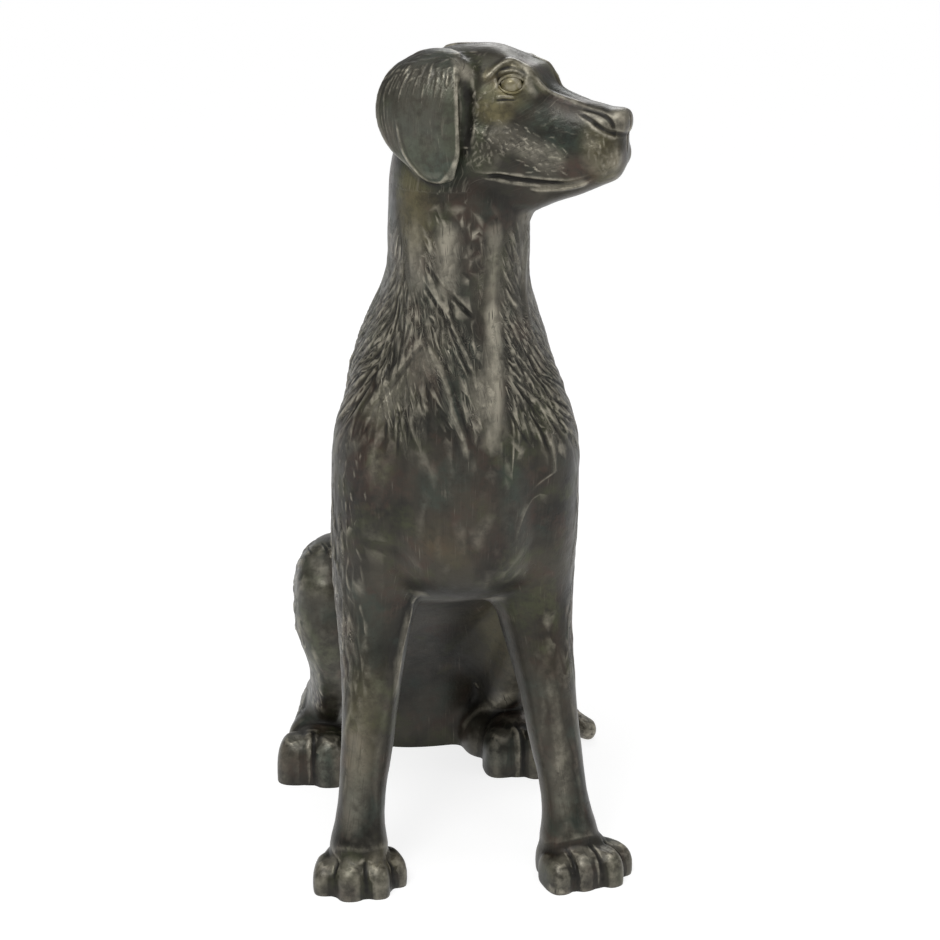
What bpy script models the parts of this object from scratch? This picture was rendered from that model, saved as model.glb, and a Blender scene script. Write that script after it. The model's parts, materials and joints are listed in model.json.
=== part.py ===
"""A seated dog in patinated bronze, cast in one piece as a garden ornament.

The dog sits with its fore legs upright, its hind legs folded on either side of the rump, its tail curled
round to its left and its head turned to its left. It faces -Y, so its left side is at +X, and +Z is up.
The origin is on the ground, under the middle of the figure's box.

Every form is laid out on a sculptor's grid of 760 units from the ground to the crown of the head. At the
real height of 760 mm one unit is one millimetre, and a figure of another height keeps its proportions.
"""

import math

import bmesh
import bpy
import numpy as np
from mathutils import Matrix, Vector
from mathutils.bvhtree import BVHTree

# Driving dimensions, in metres and degrees.
HEIGHT = 0.760  # from the ground to the crown of the head
HEAD_TURN = 60.0  # how far the head is turned to the dog's left

GRID = 760  # units from the ground to the crown
UNIT = HEIGHT / GRID

# Grain of the clay, in grid units: the voxel that each stage is fused at, and its rounds of smoothing.
BODY_GRAIN, BODY_ROUNDS = 5.0, 14
HEAD_GRAIN, HEAD_ROUNDS = 2.6, 8
SKIN_GRAIN, SKIN_ROUNDS = 2.7, 4
FACETS = 9600  # triangles of the finished solid
KEEP = 0.035  # how far the head and paws are spared when the skin is thinned

NECK_AXIS = (4, 5, 0)  # the upright line that the head turns on
LEG_LINE = 1  # the x midway between the legs
RING = 28  # points round a section
STEPS = 6  # rings between one section and the next


def grid(point):
    """A point of the sculptor's grid, in metres."""
    return Vector(point) * UNIT


def add_object(name, mesh):
    obj = bpy.data.objects.new(name, mesh)
    bpy.context.scene.collection.objects.link(obj)
    return obj


def mesh_of(form, name):
    """The mesh that a bmesh was worked into."""
    bmesh.ops.recalc_face_normals(form, faces=form.faces)
    mesh = bpy.data.meshes.new(name)
    form.to_mesh(mesh)
    form.free()
    return mesh


def ball(centre, half, turn=(0, 0, 0), square=2.0):
    """An ellipsoid with these half sizes, turned by these degrees about X, Y and Z.

    A square of more than 2 makes it boxier."""
    angles = [math.radians(angle) for angle in turn]
    turned = Matrix.Rotation(angles[2], 4, "Z") @ Matrix.Rotation(angles[1], 4, "Y")
    turned = turned @ Matrix.Rotation(angles[0], 4, "X")
    place = Matrix.Translation(grid(centre)) @ turned @ Matrix.Diagonal((*grid(half), 1))
    form = bmesh.new()
    bmesh.ops.create_uvsphere(form, u_segments=32, v_segments=20, radius=1)
    for vertex in form.verts:
        squared = [math.copysign(abs(value) ** (2 / square), value) for value in vertex.co]
        vertex.co = place @ Vector(squared)
    return add_object("ball", mesh_of(form, "ball"))


def between(rows, steps=STEPS):
    """Rows of numbers with a smooth run of further rows between each pair of them."""
    rows = np.array(rows, float)
    padded = np.vstack([2 * rows[0] - rows[1], rows, 2 * rows[-1] - rows[-2]])
    run = []
    for a, b, c, d in zip(padded, padded[1:], padded[2:], padded[3:]):
        for t in np.arange(steps) / steps:
            run.append(b + 0.5 * t * (c - a + t * (2 * a - 5 * b + 4 * c - d + t * (3 * (b - c) + d - a))))
    return np.array(run + [rows[-1]])


def loft(sections, dome=(0.6, 0.6), square=2.0):
    """A closed form through oval sections, each a centre, a half width and a half depth as vectors.

    Each end is closed with a dome this many times as high as its section is deep. A square of 2 makes the
    sections ellipses, and more than that squares them."""
    run = between([[*centre, *wide, *deep] for centre, wide, deep in sections])
    rings = [(row[:3], row[3:6], row[6:9]) for row in run]
    for end, inner, share in ((0, 1, dome[0]), (-1, -2, dome[1])):
        centre, wide, deep = rings[end]
        outward = centre - rings[inner][0]
        outward = outward / np.linalg.norm(outward) * np.linalg.norm(deep) * share
        cap = []
        for angle in np.radians((30, 55, 75, 87)):
            cap.append((centre + outward * math.sin(angle), wide * math.cos(angle), deep * math.cos(angle)))
        rings = cap[::-1] + rings if end == 0 else rings + cap
    form = bmesh.new()
    around = np.arange(RING) * 2 * math.pi / RING
    across = np.sign(np.cos(around)) * np.abs(np.cos(around)) ** (2 / square)
    through = np.sign(np.sin(around)) * np.abs(np.sin(around)) ** (2 / square)
    loops = []
    for centre, wide, deep in rings:
        points = centre + np.outer(across, wide) + np.outer(through, deep)
        loops.append([form.verts.new(grid(point)) for point in points])
    for lower, upper in zip(loops, loops[1:]):
        for i in range(RING):
            form.faces.new((lower[i - 1], lower[i], upper[i], upper[i - 1]))
    for loop in (loops[0], loops[-1]):
        form.faces.new(loop)
    return add_object("loft", mesh_of(form, "loft"))


def limb(stations, across=(1, 0, 0), dome=(0.6, 0.6)):
    """A loft through stations of x, y, z, half width and half depth, square to its own line.

    The half width lies along the across direction, and the half depth square to it and to the line."""
    stations = np.array(stations, float)
    points = stations[:, :3]
    lines = np.gradient(points, axis=0)
    sections = []
    for point, line, (wide, deep) in zip(points, lines, stations[:, 3:]):
        line = line / np.linalg.norm(line)
        side = np.array(across, float) - np.dot(across, line) * line
        side = side / np.linalg.norm(side)
        sections.append((point, side * wide, np.cross(side, line) * deep))
    return loft(sections, dome)


def fuse(name, forms, grain, rounds):
    """One closed skin round overlapping forms, smoothed as a thumb smooths clay. The forms are used up."""
    form = bmesh.new()
    for obj in forms:
        obj.data.transform(obj.matrix_world)
        form.from_mesh(obj.data)
        bpy.data.objects.remove(obj, do_unlink=True)
    fused = add_object(name, mesh_of(form, name))
    remesh = fused.modifiers.new("one skin", "REMESH")
    remesh.mode = "VOXEL"
    remesh.voxel_size = grain * UNIT
    thumb = fused.modifiers.new("thumb", "SMOOTH")
    thumb.factor = 0.5
    thumb.iterations = rounds
    return settled(fused)


def settled(obj):
    """The object with its modifiers applied."""
    graph = bpy.context.evaluated_depsgraph_get()
    mesh = bpy.data.meshes.new_from_object(obj.evaluated_get(graph))
    obj.modifiers.clear()
    obj.data = mesh
    return obj


# The trunk and neck: for each section the point of the back and the point of the front, as (y, z), and
# the half width, from inside the head down to under the ground.
TRUNK = (
    ((46, 728), (-30, 718), 34),
    ((60, 702), (-44, 690), 46),
    ((72, 662), (-56, 648), 59),
    ((73, 612), (-58, 598), 62),
    ((84, 570), (-55, 548), 62.5),
    ((114, 530), (-61, 494), 77.5),
    ((158, 478), (-73, 426), 94),
    ((206, 412), (-72, 350), 96.5),
    ((250, 348), (-50, 282), 94),
    ((292, 288), (44, 240), 88),
    ((332, 222), (126, 208), 86),
    ((364, 156), (186, 156), 84),
    ((384, 90), (234, 98), 80),
    ((386, 30), (261, 30), 76),
    ((380, -20), (263, -20), 72),
)


def trunk():
    sections = []
    for (back_y, back_z), (front_y, front_z), half_width in TRUNK:
        back = np.array([NECK_AXIS[0], back_y, back_z])
        front = np.array([NECK_AXIS[0], front_y, front_z])
        sections.append(((back + front) / 2, np.array([half_width, 0, 0]), (front - back) / 2))
    return loft(sections, square=2.3)


# A fore leg from inside the shoulder to inside the paw: x outward, y, z, half width and half depth.
FORE_LEG = (
    (60, 6, 462, 33, 50),
    (69, 6, 410, 41.5, 62),
    (71, 12, 345, 41.5, 58),
    (72, 18, 290, 40, 49),
    (73, 20, 255, 38, 42),
    (77, 9, 215, 32, 34),
    (82, -8, 172, 27, 29),
    (87.5, -18, 125, 24.8, 25),
    (93, -25, 88, 22.5, 25),
    (96, -30, 60, 23.5, 26),
    (98, -34, 42, 27, 30),
    (98, -36, 28, 30, 34),
)

# A hind leg: the thigh from the hip to the knee, and the shin from the knee to the hock.
THIGH = (
    (48, 306, 130, 56, 70),
    (78, 252, 170, 54, 74),
    (99, 206, 205, 44, 58),
    (108, 178, 224, 33, 40),
)
SHIN = (
    (106, 174, 224, 31, 33),
    (108, 186, 176, 30, 36),
    (98.5, 206, 128, 26, 34),
    (97, 236, 84, 25, 31),
    (106, 286, 44, 25, 27),
)
INSTEP = (
    (108, 300, 22, 22, 28),
    (112, 268, 26, 27, 25),
    (114, 238, 28, 33, 27),
)

TAIL = (
    (0, 360, 62, 30, 30),
    (26, 396, 40, 27, 27),
    (78, 404, 24, 24, 23),
    (124, 376, 17, 21, 19),
    (150, 328, 12, 19, 14),
    (168, 284, 10, 15, 12),
    (180, 257, 11, 13, 11),
)


def shift(stations, side, foot=0.0, top=200.0):
    """Stations given for the left, put on this side, with a foot that stands further out by so much."""
    moved = []
    for x, y, z, wide, deep in stations:
        out = foot * max(0.0, 1 - z / top)
        moved.append((side * (x + out) + LEG_LINE, y, z, wide, deep))
    return moved


# The toes of each paw from the dog's right to its left: the middle of each as x, y, its turn in degrees and
# its half width.
RIGHT_TOES = ((-29, -13, -12, 12), (-8.5, -27, -3, 14), (15, -26, 4, 12), (32, -6, 14, 10.5))
LEFT_TOES = ((-32, -21, -12, 12), (-11.5, -26, -4, 12.5), (13, -33, 4, 12.5), (31, -20, 14, 11))
RIGHT_HIND_TOES = ((-24, -20, -8, 19), (10, -29, 0, 17), (33, -22, 10, 13))
LEFT_HIND_TOES = ((-23, -22, -8, 17), (10, -36, 0, 16), (33, -39, 10, 13))

WEB = 3.5  # how far the web between two toes stands back from them

# The paws: the ankle, the turn in degrees, the toes, their height and the half height of the paw behind them.
PAWS = (
    ((-97, -28, 0), 0, RIGHT_TOES, 34, 30),
    ((103, -37, 0), 24, LEFT_TOES, 35, 36),
    ((-112, 226, 0), -4, RIGHT_HIND_TOES, 52, 42),
    ((91, 222, 0), 10, LEFT_HIND_TOES, 50, 46),
)


def paw(ankle, turn, toes, height, back):
    """A paw in front of the ankle, turned to the dog's left by so many degrees."""
    forms = [ball((0, -5, 9), (34, 36, back - 2), square=2.3)]
    for x, y, spread, half in toes:
        tall = height - 8 - abs(x) * 0.22
        forms.append(ball((x, y, 8), (half, 24, tall), (0, 0, spread), square=2.8))
    for (x, y, _, half), (next_x, next_y, _, next_half) in zip(toes, toes[1:]):
        middle, tall = (x + next_x) / 2, height - 9 - abs(x + next_x) * 0.11
        forms.append(ball((middle, (y + next_y) / 2 + WEB, 8), ((next_x - x) / 2, 24, tall), square=2.8))
    place = Matrix.Translation(grid(ankle)) @ Matrix.Rotation(math.radians(turn), 4, "Z")
    for form in forms:
        form.data.transform(place)
    return forms


def clefts(ankle, turn, toes, height, back):
    """The lines between the toes of a paw, from the knuckles down to the ground."""
    place = Matrix.Translation(ankle) @ Matrix.Rotation(math.radians(turn), 4, "Z")
    lines = []
    for (x, y, _, half), (next_x, next_y, _, next_half) in zip(toes, toes[1:]):
        middle = (x + half + next_x - next_half) / 2
        front = max(y, next_y)
        route = ((front + 2, height), (front - 12, height * 0.85), (front - 20, height * 0.45), (front - 21, 2))
        lines.append([place @ Vector((middle, y, z)) for y, z in route])
    return lines


def crease(ankle, turn, toes, height, back):
    """The fold across a paw, where its toes leave the leg."""
    place = Matrix.Translation(ankle) @ Matrix.Rotation(math.radians(turn), 4, "Z")
    return [place @ Vector((x, y + 4, height + 3 - abs(x) * 0.2)) for x, y, _, _ in toes]


def body():
    """The trunk, neck and upper limbs, fused and smoothed together."""
    forms = [trunk(), limb(TAIL, across=(0, 0, 1))]
    for side in (-1, 1):
        forms.append(limb(shift(FORE_LEG, side, foot=2.5 if side > 0 else -2, top=300)))
        knee_in = 6 if side > 0 else 4
        foot = -22 if side > 0 else 0
        forms.append(limb([(x - side * knee_in, *rest) for x, *rest in shift(THIGH, side)]))
        forms.append(limb(shift(SHIN, side, foot=foot, top=240)))
        forms.append(limb(shift(INSTEP, side, foot=foot, top=240)))
    forms.append(ball((66, 256, 14), (27, 38, 32)))
    return fuse("body", forms, BODY_GRAIN, BODY_ROUNDS)


# The head facing -Y: for each section from the occiput to the lips its y, its top, its bottom and half width.
HEAD = (
    (52, 722, 690, 20),
    (44, 736, 664, 36),
    (22, 753, 642, 49),
    (-8, 760, 636, 52),
    (-34, 761, 617, 50),
    (-56, 753, 615, 44),
    (-74, 738, 621, 36),
    (-92, 726, 629, 30.5),
    (-112, 718, 636, 27),
    (-132, 714, 645, 24),
    (-145, 708, 651, 20),
    (-149, 699, 658, 14),
)


# The plane from the forehead down the stop and along the muzzle: its y, its top, its half width.
BRIDGE = (
    (-36, 758, 24),
    (-52, 754, 28),
    (-64, 748, 31),
    (-75, 744, 32),
    (-82, 733, 27),
    (-90, 723.5, 19),
    (-108, 716, 16),
    (-128, 714, 15),
)


def bridge():
    sections = []
    for y, top, half in BRIDGE:
        sections.append((np.array([0, y, top - 13]), np.array([half, 0, 0]), np.array([0, 0, 13])))
    return loft(sections, dome=(0.4, 0.4), square=4)


def head():
    """The head facing -Y on the neck axis, fused and smoothed."""
    sections = []
    for y, top, bottom, half in HEAD:
        sections.append(
            (
                np.array([0, y, (top + bottom) / 2]),
                np.array([half, 0, 0]),
                np.array([0, 0, (top - bottom) / 2]),
            )
        )
    forms = [
        loft(sections, dome=(0.4, 0.2), square=2.4),
        ball((0, -144.5, 700), (17, 11.5, 12), square=2.9),
        ball((0, -45, 616), (24, 22, 16)),
        bridge(),
    ]
    for side in (-1, 1):
        forms.append(ball((side * 32, -26, 676), (24, 40, 36)))
        forms.append(ball((side * 14, -126, 672), (14, 27, 19)))
        forms.append(ball((side * 38, -6, 734), (20, 30, 20)))
    return fuse("head", forms, HEAD_GRAIN, HEAD_ROUNDS)


# An ear flap: the height of each section, its middle (out from the head, forward), and its half width
# along the head and half thickness.
EAR = (
    (752, 38, -5, 24, 11),
    (742, 51, -9, 33, 11),
    (722, 60, -12.8, 39, 10),
    (698, 63, -12, 40, 9.5),
    (676, 63, -6, 35, 9),
    (658, 62, 2, 22, 8.5),
)


def ear(side):
    sections = []
    for z, out, forward, half, thick in EAR:
        centre = np.array([side * out, -forward, z], float)
        sections.append((centre, np.array([side * 5.0, -half, 0]), np.array([side * thick, 0, 0])))
    return loft(sections, dome=(1.0, 1.2))


def figure():
    skull = head()
    crown = [skull, ear(-1), ear(1)]
    place = Matrix.Translation(grid(NECK_AXIS)) @ Matrix.Rotation(math.radians(HEAD_TURN), 4, "Z")
    for form in crown:
        form.data.transform(place)
    forms = [body(), *crown]
    for place in PAWS:
        forms += paw(*place)
    return fuse("dog", forms, SKIN_GRAIN, SKIN_ROUNDS)


class Skin:
    """The skin of the figure while it is carved: its points, the way out at each, and how far it is raised.

    Everything is in grid units."""

    def __init__(self, obj):
        self.obj = obj
        count = len(obj.data.vertices)
        points = np.empty(count * 3)
        obj.data.vertices.foreach_get("co", points)
        self.points = points.reshape(-1, 3) / UNIT
        outward = np.empty(count * 3)
        obj.data.vertex_normals.foreach_get("vector", outward)
        self.outward = outward.reshape(-1, 3)
        self.raised = np.zeros(count)
        self.fur = np.zeros(count)
        self.order = np.argsort(self.points[:, 2])
        self.heights = self.points[self.order, 2]
        self.tree = BVHTree.FromObject(obj, bpy.context.evaluated_depsgraph_get())

    def snap(self, point):
        """The nearest point of the skin, and the way out there."""
        place, outward = self.tree.find_nearest(grid(point))[:2]
        return np.array(place) / UNIT, np.array(outward)

    def hit(self, start, end):
        """Where a line from start to end first meets the skin, or None."""
        way = grid(end) - grid(start)
        place = self.tree.ray_cast(grid(start), way.normalized(), way.length)[0]
        return None if place is None else np.array(place) / UNIT

    def near(self, middle, reach):
        """The numbers of the points within reach of the middle."""
        low, high = np.searchsorted(self.heights, (middle[2] - reach, middle[2] + reach))
        slab = self.order[low:high]
        return slab[np.linalg.norm(self.points[slab] - middle, axis=1) < reach]

    def beside(self, route, width):
        """The points within a width of a route laid on the skin, their gaps to it, and how far along it."""
        line = np.array([self.snap(point)[0] for point in between(route, 4)])
        middle = (line.min(axis=0) + line.max(axis=0)) / 2
        spots = self.near(middle, np.linalg.norm(line - middle, axis=1).max() + width)
        best = np.full(len(spots), np.inf)
        along = np.zeros(len(spots))
        for number, (start, end) in enumerate(zip(line, line[1:])):
            way = end - start
            share = np.clip((self.points[spots] - start) @ way / max(way @ way, 1e-9), 0, 1)
            gap = np.linalg.norm(self.points[spots] - start - share[:, None] * way, axis=1)
            closer = gap < best
            best[closer] = gap[closer]
            along[closer] = (number + share[closer]) / (len(line) - 1)
        close = best < width
        return spots[close], best[close], along[close]

    def stroke(self, route, width, height, taper=6):
        """Raises a rounded ridge along a route, or cuts a groove with a height below nothing.

        The stroke fades in and out over a share of its length that is one over the taper."""
        spots, gap, along = self.beside(route, width)
        rounded = (1 - (gap / width) ** 2) ** 2
        ends = np.clip(np.minimum(along, 1 - along) * taper + 0.1, 0, 1)
        self.raised[spots] += height * rounded * ends

    def calm(self, route, width):
        """Presses the hair flat along a route."""
        spots, gap, along = self.beside(route, width)
        ends = np.clip(np.minimum(along, 1 - along) * 5, 0, 1)
        self.fur[spots] *= 1 - ends * (1 - (gap / width) ** 2)

    def dome(self, centre, radius, height):
        """Raises a dome on the skin, or presses a hollow with a height below nothing."""
        centre = self.snap(centre)[0]
        spots = self.near(centre, radius)
        gap = np.linalg.norm(self.points[spots] - centre, axis=1)
        self.raised[spots] += height * np.sqrt(np.clip(1 - (gap / radius) ** 2, 0, 1))

    def lock(self, start, flow, length, width, height):
        """Raises one lock of hair, that grows wider and higher along the flow and ends in a point."""
        pieces = 8
        path, ways, sides = [], [], []
        point, outward = self.snap(start)
        for _ in range(pieces + 1):
            way = flow(point)
            way = way - way @ outward * outward
            way = way / max(np.linalg.norm(way), 1e-9)
            path.append(point)
            ways.append(way)
            sides.append(np.cross(outward, way))
            point, outward = self.snap(point + way * length / pieces)
        path, ways, sides = np.array(path), np.array(ways), np.array(sides)
        spots = self.near(path[pieces // 2], length * 0.6 + width)
        if not len(spots):
            return
        offsets = self.points[spots][:, None] - path[None]
        nearest = np.argmin(np.einsum("ijk,ijk->ij", offsets, offsets), axis=1)
        offset = offsets[np.arange(len(spots)), nearest]
        along = nearest / pieces + np.einsum("ij,ij->i", offset, ways[nearest]) / length
        across = np.einsum("ij,ij->i", offset, sides[nearest])
        leaf = np.where(along < 0.4, 0.6 + along, 1 - (np.clip(along - 0.4, 0, 1) / 0.6) ** 2)
        inside = (along > 0) & (along < 1) & (leaf > 0)
        bulge = np.zeros(len(spots))
        spread = np.abs(across[inside]) / (width * leaf[inside])
        rise = np.clip(along[inside] * 4, 0, 1) * np.clip((1 - along[inside]) * 2.5, 0.3, 1)
        bulge[inside] = height * rise * np.clip(1 - spread**2, 0, 1) ** 0.8
        self.fur[spots] = np.maximum(self.fur[spots], bulge)

    def settle(self):
        """Moves every point out by as much as it is raised."""
        moved = self.points + self.outward * (self.raised + self.fur)[:, None]
        self.obj.data.vertices.foreach_set("co", (moved * UNIT).ravel())
        self.obj.data.update()


class Guide:
    """A line down the middle of a limb, with the ways to its front and its left all along it."""

    def __init__(self, line, front=(0, -1, 0)):
        self.line = between(line)
        ways = np.gradient(self.line, axis=0)
        self.ways = ways / np.linalg.norm(ways, axis=1)[:, None]
        fronts = np.array(front) - (self.ways @ np.array(front))[:, None] * self.ways
        self.fronts = fronts / np.linalg.norm(fronts, axis=1)[:, None]
        self.lefts = np.cross(self.fronts, self.ways)

    def about(self, share, turn, reach):
        """A line from outside to the middle of the limb, this share of the way down and turned so far."""
        spot = min(int(share * len(self.line)), len(self.line) - 1)
        turn = math.radians(turn)
        outward = math.cos(turn) * self.fronts[spot] + math.sin(turn) * self.lefts[spot]
        return self.line[spot] + outward * reach, self.line[spot]

    def flow(self, point, lean):
        """The way that hair lies at a point. lean maps the turn round the limb to a slope to its left."""
        offsets = point - self.line
        spot = np.argmin(np.linalg.norm(offsets, axis=1))
        turn = math.atan2(offsets[spot] @ self.lefts[spot], offsets[spot] @ self.fronts[spot])
        slope = np.interp(math.degrees(turn), *lean)
        around = math.cos(turn) * self.lefts[spot] - math.sin(turn) * self.fronts[spot]
        return self.ways[spot] + slope * around


STRAIGHT = ((-180, 180), (0, 0))

# The lie of the hair on the neck and trunk: from one turn to another, its slope towards the left.
MANE_LEAN = (
    (-180, -140, -88, -64, -48, -12, 2, 12, 24, 70, 150, 180),
    (0, -0.2, -0.5, -0.5, 0.3, 0.4, 0.3, 0.1, 0.3, 0.4, 0.1, 0),
)

# The lowest height that a lock of the mane starts from, at each turn.
MANE_EDGE = ((-180, -100, -70, -45, 0, 30, 60, 90, 180), (0, 350, 405, 462, 486, 466, 425, 350, 0))

TRUNK_LINE = (
    (4, 8, 650),
    (4, 8, 610),
    (4, 12, 560),
    (4, 28, 510),
    (4, 52, 455),
    (4, 80, 390),
    (4, 130, 310),
    (4, 200, 225),
    (4, 262, 140),
    (4, 300, 60),
)


def tufts(skin, guide, count, shares, turns, size, lean=STRAIGHT, edge=STRAIGHT, reach=200, seed=1):
    """Locks of hair spread evenly over a part of a limb, between two shares of its line and two turns.

    size is the length, half width and height of a lock. The locks vary a little from a fixed seed."""
    chance = np.random.default_rng(seed)
    length, width, height = size
    for number in range(count):
        share = shares[0] + (shares[1] - shares[0]) * (number + chance.random()) / count
        turn = turns[0] + (turns[1] - turns[0]) * ((number * 0.618034) % 1) + chance.normal() * 2
        start = skin.hit(*guide.about(share, turn, reach))
        stray = chance.normal() * 12
        if start is None or start[2] < np.interp(turn, *edge) + stray:
            continue
        bend = chance.normal() * 0.2
        vary = chance.uniform(0.7, 1.3, 3)
        skin.lock(
            start,
            lambda point: guide.flow(point, (lean[0], np.array(lean[1]) + bend)),
            length * vary[0],
            width * vary[1],
            height * vary[2],
        )


def comb(skin):
    """The coat: a mane of locks on the neck and shoulders, and shallower locks elsewhere."""
    trunk_guide = Guide(TRUNK_LINE)
    tufts(skin, trunk_guide, 300, (0.1, 0.42), (-95, 88), (72, 6.4, 2.9), MANE_LEAN, MANE_EDGE)
    tufts(skin, trunk_guide, 280, (0.08, 0.56), (85, 268), (70, 7.0, 2.9), MANE_LEAN, seed=3)
    tufts(skin, trunk_guide, 240, (0.5, 0.98), (72, 288), (62, 8, 2.0), MANE_LEAN, reach=240, seed=2)
    for side in (-1, 1):
        leg = Guide([station[:3] for station in shift(FORE_LEG, side)[1:8]])
        middle = side * 100
        tufts(skin, leg, 70, (0.1, 0.75), (middle - 45, middle + 60), (40, 5, 1.5), reach=75, seed=4 + side)
    tail = Guide([station[:3] for station in TAIL], front=(0, 0, 1))
    tufts(skin, tail, 60, (0.05, 0.9), (-120, 120), (44, 7, 2.6), reach=45, seed=7)


def turned(points):
    """Points of the head as it faces -Y, where they lie once it is turned."""
    angle = math.radians(HEAD_TURN)
    cos, sin = math.cos(angle), math.sin(angle)
    return [(NECK_AXIS[0] + x * cos - y * sin, NECK_AXIS[1] + x * sin + y * cos, z) for x, y, z in points]


# Strokes of the modelling tool on the head as it faces -Y: the half width and the height of the stroke, less
# than nothing for a groove, and its points, which are put on either side.
HEAD_STROKES = (
    (6.0, 1.8, ((41, -38, 732), (36, -45, 741), (27, -53, 748), (21, -61, 749), (23, -70, 744), (25, -77, 737))),
    (6.0, 1.6, ((25, -77, 737), (22, -84, 730), (18, -93, 724), (15, -106, 720), (13, -122, 716))),
    (9.0, -3.2, ((40, -50, 733), (37, -57, 735), (34, -64, 734), (31, -71, 730))),
    (4.0, 1.8, ((41, -46, 729), (39, -51, 737), (37, -58, 741), (36, -65, 740), (34, -71, 735), (31, -74, 727))),
    (3.6, 1.2, ((41, -49, 725), (39, -57, 722), (36, -64, 722), (32, -71, 726))),
    (3.0, 0.9, ((42, -49, 719), (38, -59, 716), (34, -68, 719))),
    (3.0, 0.8, ((44, -45, 713), (40, -56, 709), (35, -68, 712))),
    (3.6, -2.1, ((47, -44, 655), (42, -54, 654), (35, -70, 651), (28, -85, 649), (25, -96, 648), (23, -106, 648))),
    (3.4, -0.7, ((51, -35, 656), (42, -54, 654), (35, -70, 651), (24, -102, 648), (21, -119, 651), (21, -130, 655))),
    (3.2, 1.2, ((31, -76, 643), (27, -88, 641), (23, -102, 642), (20, -116, 645), (19, -126, 649))),
    (2.8, -1.3, ((16, -115, 712), (16, -125, 710), (16, -134, 708), (17, -141, 704), (17, -145, 699), (17, -146, 694))),
    (3.0, 0.9, ((17, -119, 709), (18, -127, 707), (18, -134, 703), (18, -140, 699))),
    (2.6, -1.4, ((18, -116, 707), (20, -125, 703), (20, -132, 699), (20, -139, 695))),
    (3.8, -2.2, ((20, -128, 701), (20, -134, 697), (20, -140, 694), (18, -146, 692), (16, -149, 691))),
    (3.2, -1.6, ((18, -146, 692), (13, -150, 691), (6, -153, 690), (0, -154, 690))),
    (3.6, 1.4, ((50, -18, 750), (60, -21, 742), (66, -24, 722), (69, -26, 700), (69, -26, 676), (69, -20, 660))),
    (3.6, 1.4, ((69, -20, 660), (66, -10, 651), (65, 2, 650), (65, 16, 664), (64, 24, 684), (62, 26, 706))),
    (7.0, -2.4, ((52, -26, 742), (51, -28, 722), (51, -28, 700), (51, -28, 678))),
)

# The same on the body, as it stands: key locks of the mane, creases of the chest and tendons of the legs.
BODY_STROKES = (
    (6.0, 2.0, ((-40, -39, 577), (-20, -51, 548), (-8, -56, 518), (4, -61, 488), (12, -66, 463), (7, -72, 429))),
    (3.4, -2.2, ((-32, -46, 581), (-20, -51, 561), (-8, -54, 549), (9, -56, 531))),
    (3.2, -2.0, ((-36, -44, 566), (-16, -52, 534), (-5, -57, 506), (7, -62, 478))),
    (6.0, 1.6, ((-44, -48, 522), (-21, -58, 489), (-14, -65, 463), (-6, -71, 438), (1, -73, 411))),
    (7.0, 1.6, ((-29, -50, 522), (-41, -46, 504), (-58, -38, 481), (-76, -38, 459), (-89, -33, 445))),
    (3.2, -2.0, ((-31, -50, 512), (-46, -44, 492), (-62, -40, 470), (-78, -38, 448))),
    (6.0, 1.5, ((31, -57, 495), (44, -57, 468), (58, -56, 440), (70, -54, 419))),
    (3.0, -1.4, ((43, -56, 478), (56, -55, 452), (68, -54, 430), (76, -53, 408))),
    (3.0, -1.6, ((51, -44, 509), (65, -38, 481), (78, -40, 454), (88, -44, 427))),
    (3.0, 0.7, ((58, -57, 374), (68, -54, 383), (77, -53, 389), (84, -51, 393))),
    (3.0, 0.7, ((62, -57, 366), (72, -54, 375), (80, -53, 380), (88, -50, 383))),
    (4.5, 1.6, ((-36, -26, 277), (-42, -6, 254), (-46, -6, 239), (-53, -14, 212), (-58, -22, 186))),
    (8.0, -1.2, ((-88, -30, 332), (-66, -38, 324), (-46, -37, 314), (-30, -38, 304))),
    (8.0, -1.2, ((70, -38, 330), (54, -40, 318), (40, -38, 309), (30, -39, 300))),
    (5.0, -0.9, ((-86, -24, 170), (-94, -36, 136), (-97, -43, 104), (-99, -50, 62))),
    (5.0, -0.9, ((-76, -22, 170), (-84, -34, 136), (-88, -42, 104), (-90, -50, 62))),
    (5.0, -0.9, ((78, -22, 170), (82, -39, 121), (86, -45, 84), (89, -52, 50))),
    (5.0, -0.9, ((88, -22, 170), (94, -38, 121), (98, -44, 84), (101, -52, 50))),
)


# Smooth bands down the front of the neck, where the hair lies flat.
BANDS = (
    (9, 1.8, ((-16, -56, 622), (-17, -56, 600), (-16, -56, 580), (-15, -55, 552))),
    (9, 1.6, ((28, -54, 618), (28, -56, 604), (26, -56, 560), (24, -58, 522), (27, -61, 496))),
    (10, 1.8, ((24, -58, 530), (27, -61, 496), (30, -67, 462), (30, -71, 438), (30, -73, 400))),
    (8, 2.0, ((58, -22, 612), (58, -26, 580), (62, -32, 545), (70, -36, 510))),
    (8, 2.0, ((-44, -40, 612), (-45, -42, 580), (-47, -42, 550))),
)


def carve(skin):
    for side in (-1, 1):
        for width, height, route in HEAD_STROKES:
            skin.stroke(turned([(side * x, y, z) for x, y, z in route]), width, height)
        skin.dome(turned([(side * 37, -61, 730)])[0], 9.0, 4.2)
    for place in PAWS:
        for route in clefts(*place):
            skin.stroke(route, 3.6, -2.0, taper=5)
        skin.stroke(crease(*place), 5.0, -1.8, taper=4)
    for side in (-1, 1):
        skin.calm([(side * 112, 176, 262), (side * 112, 158, 236), (side * 112, 150, 208), (side * 112, 160, 170)], 46)
    for width, height, route in BODY_STROKES:
        skin.stroke(route, width, height)
    for width, height, route in BANDS:
        skin.calm(route, width * 1.4)
        skin.stroke(route, width, height, taper=3)


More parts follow.
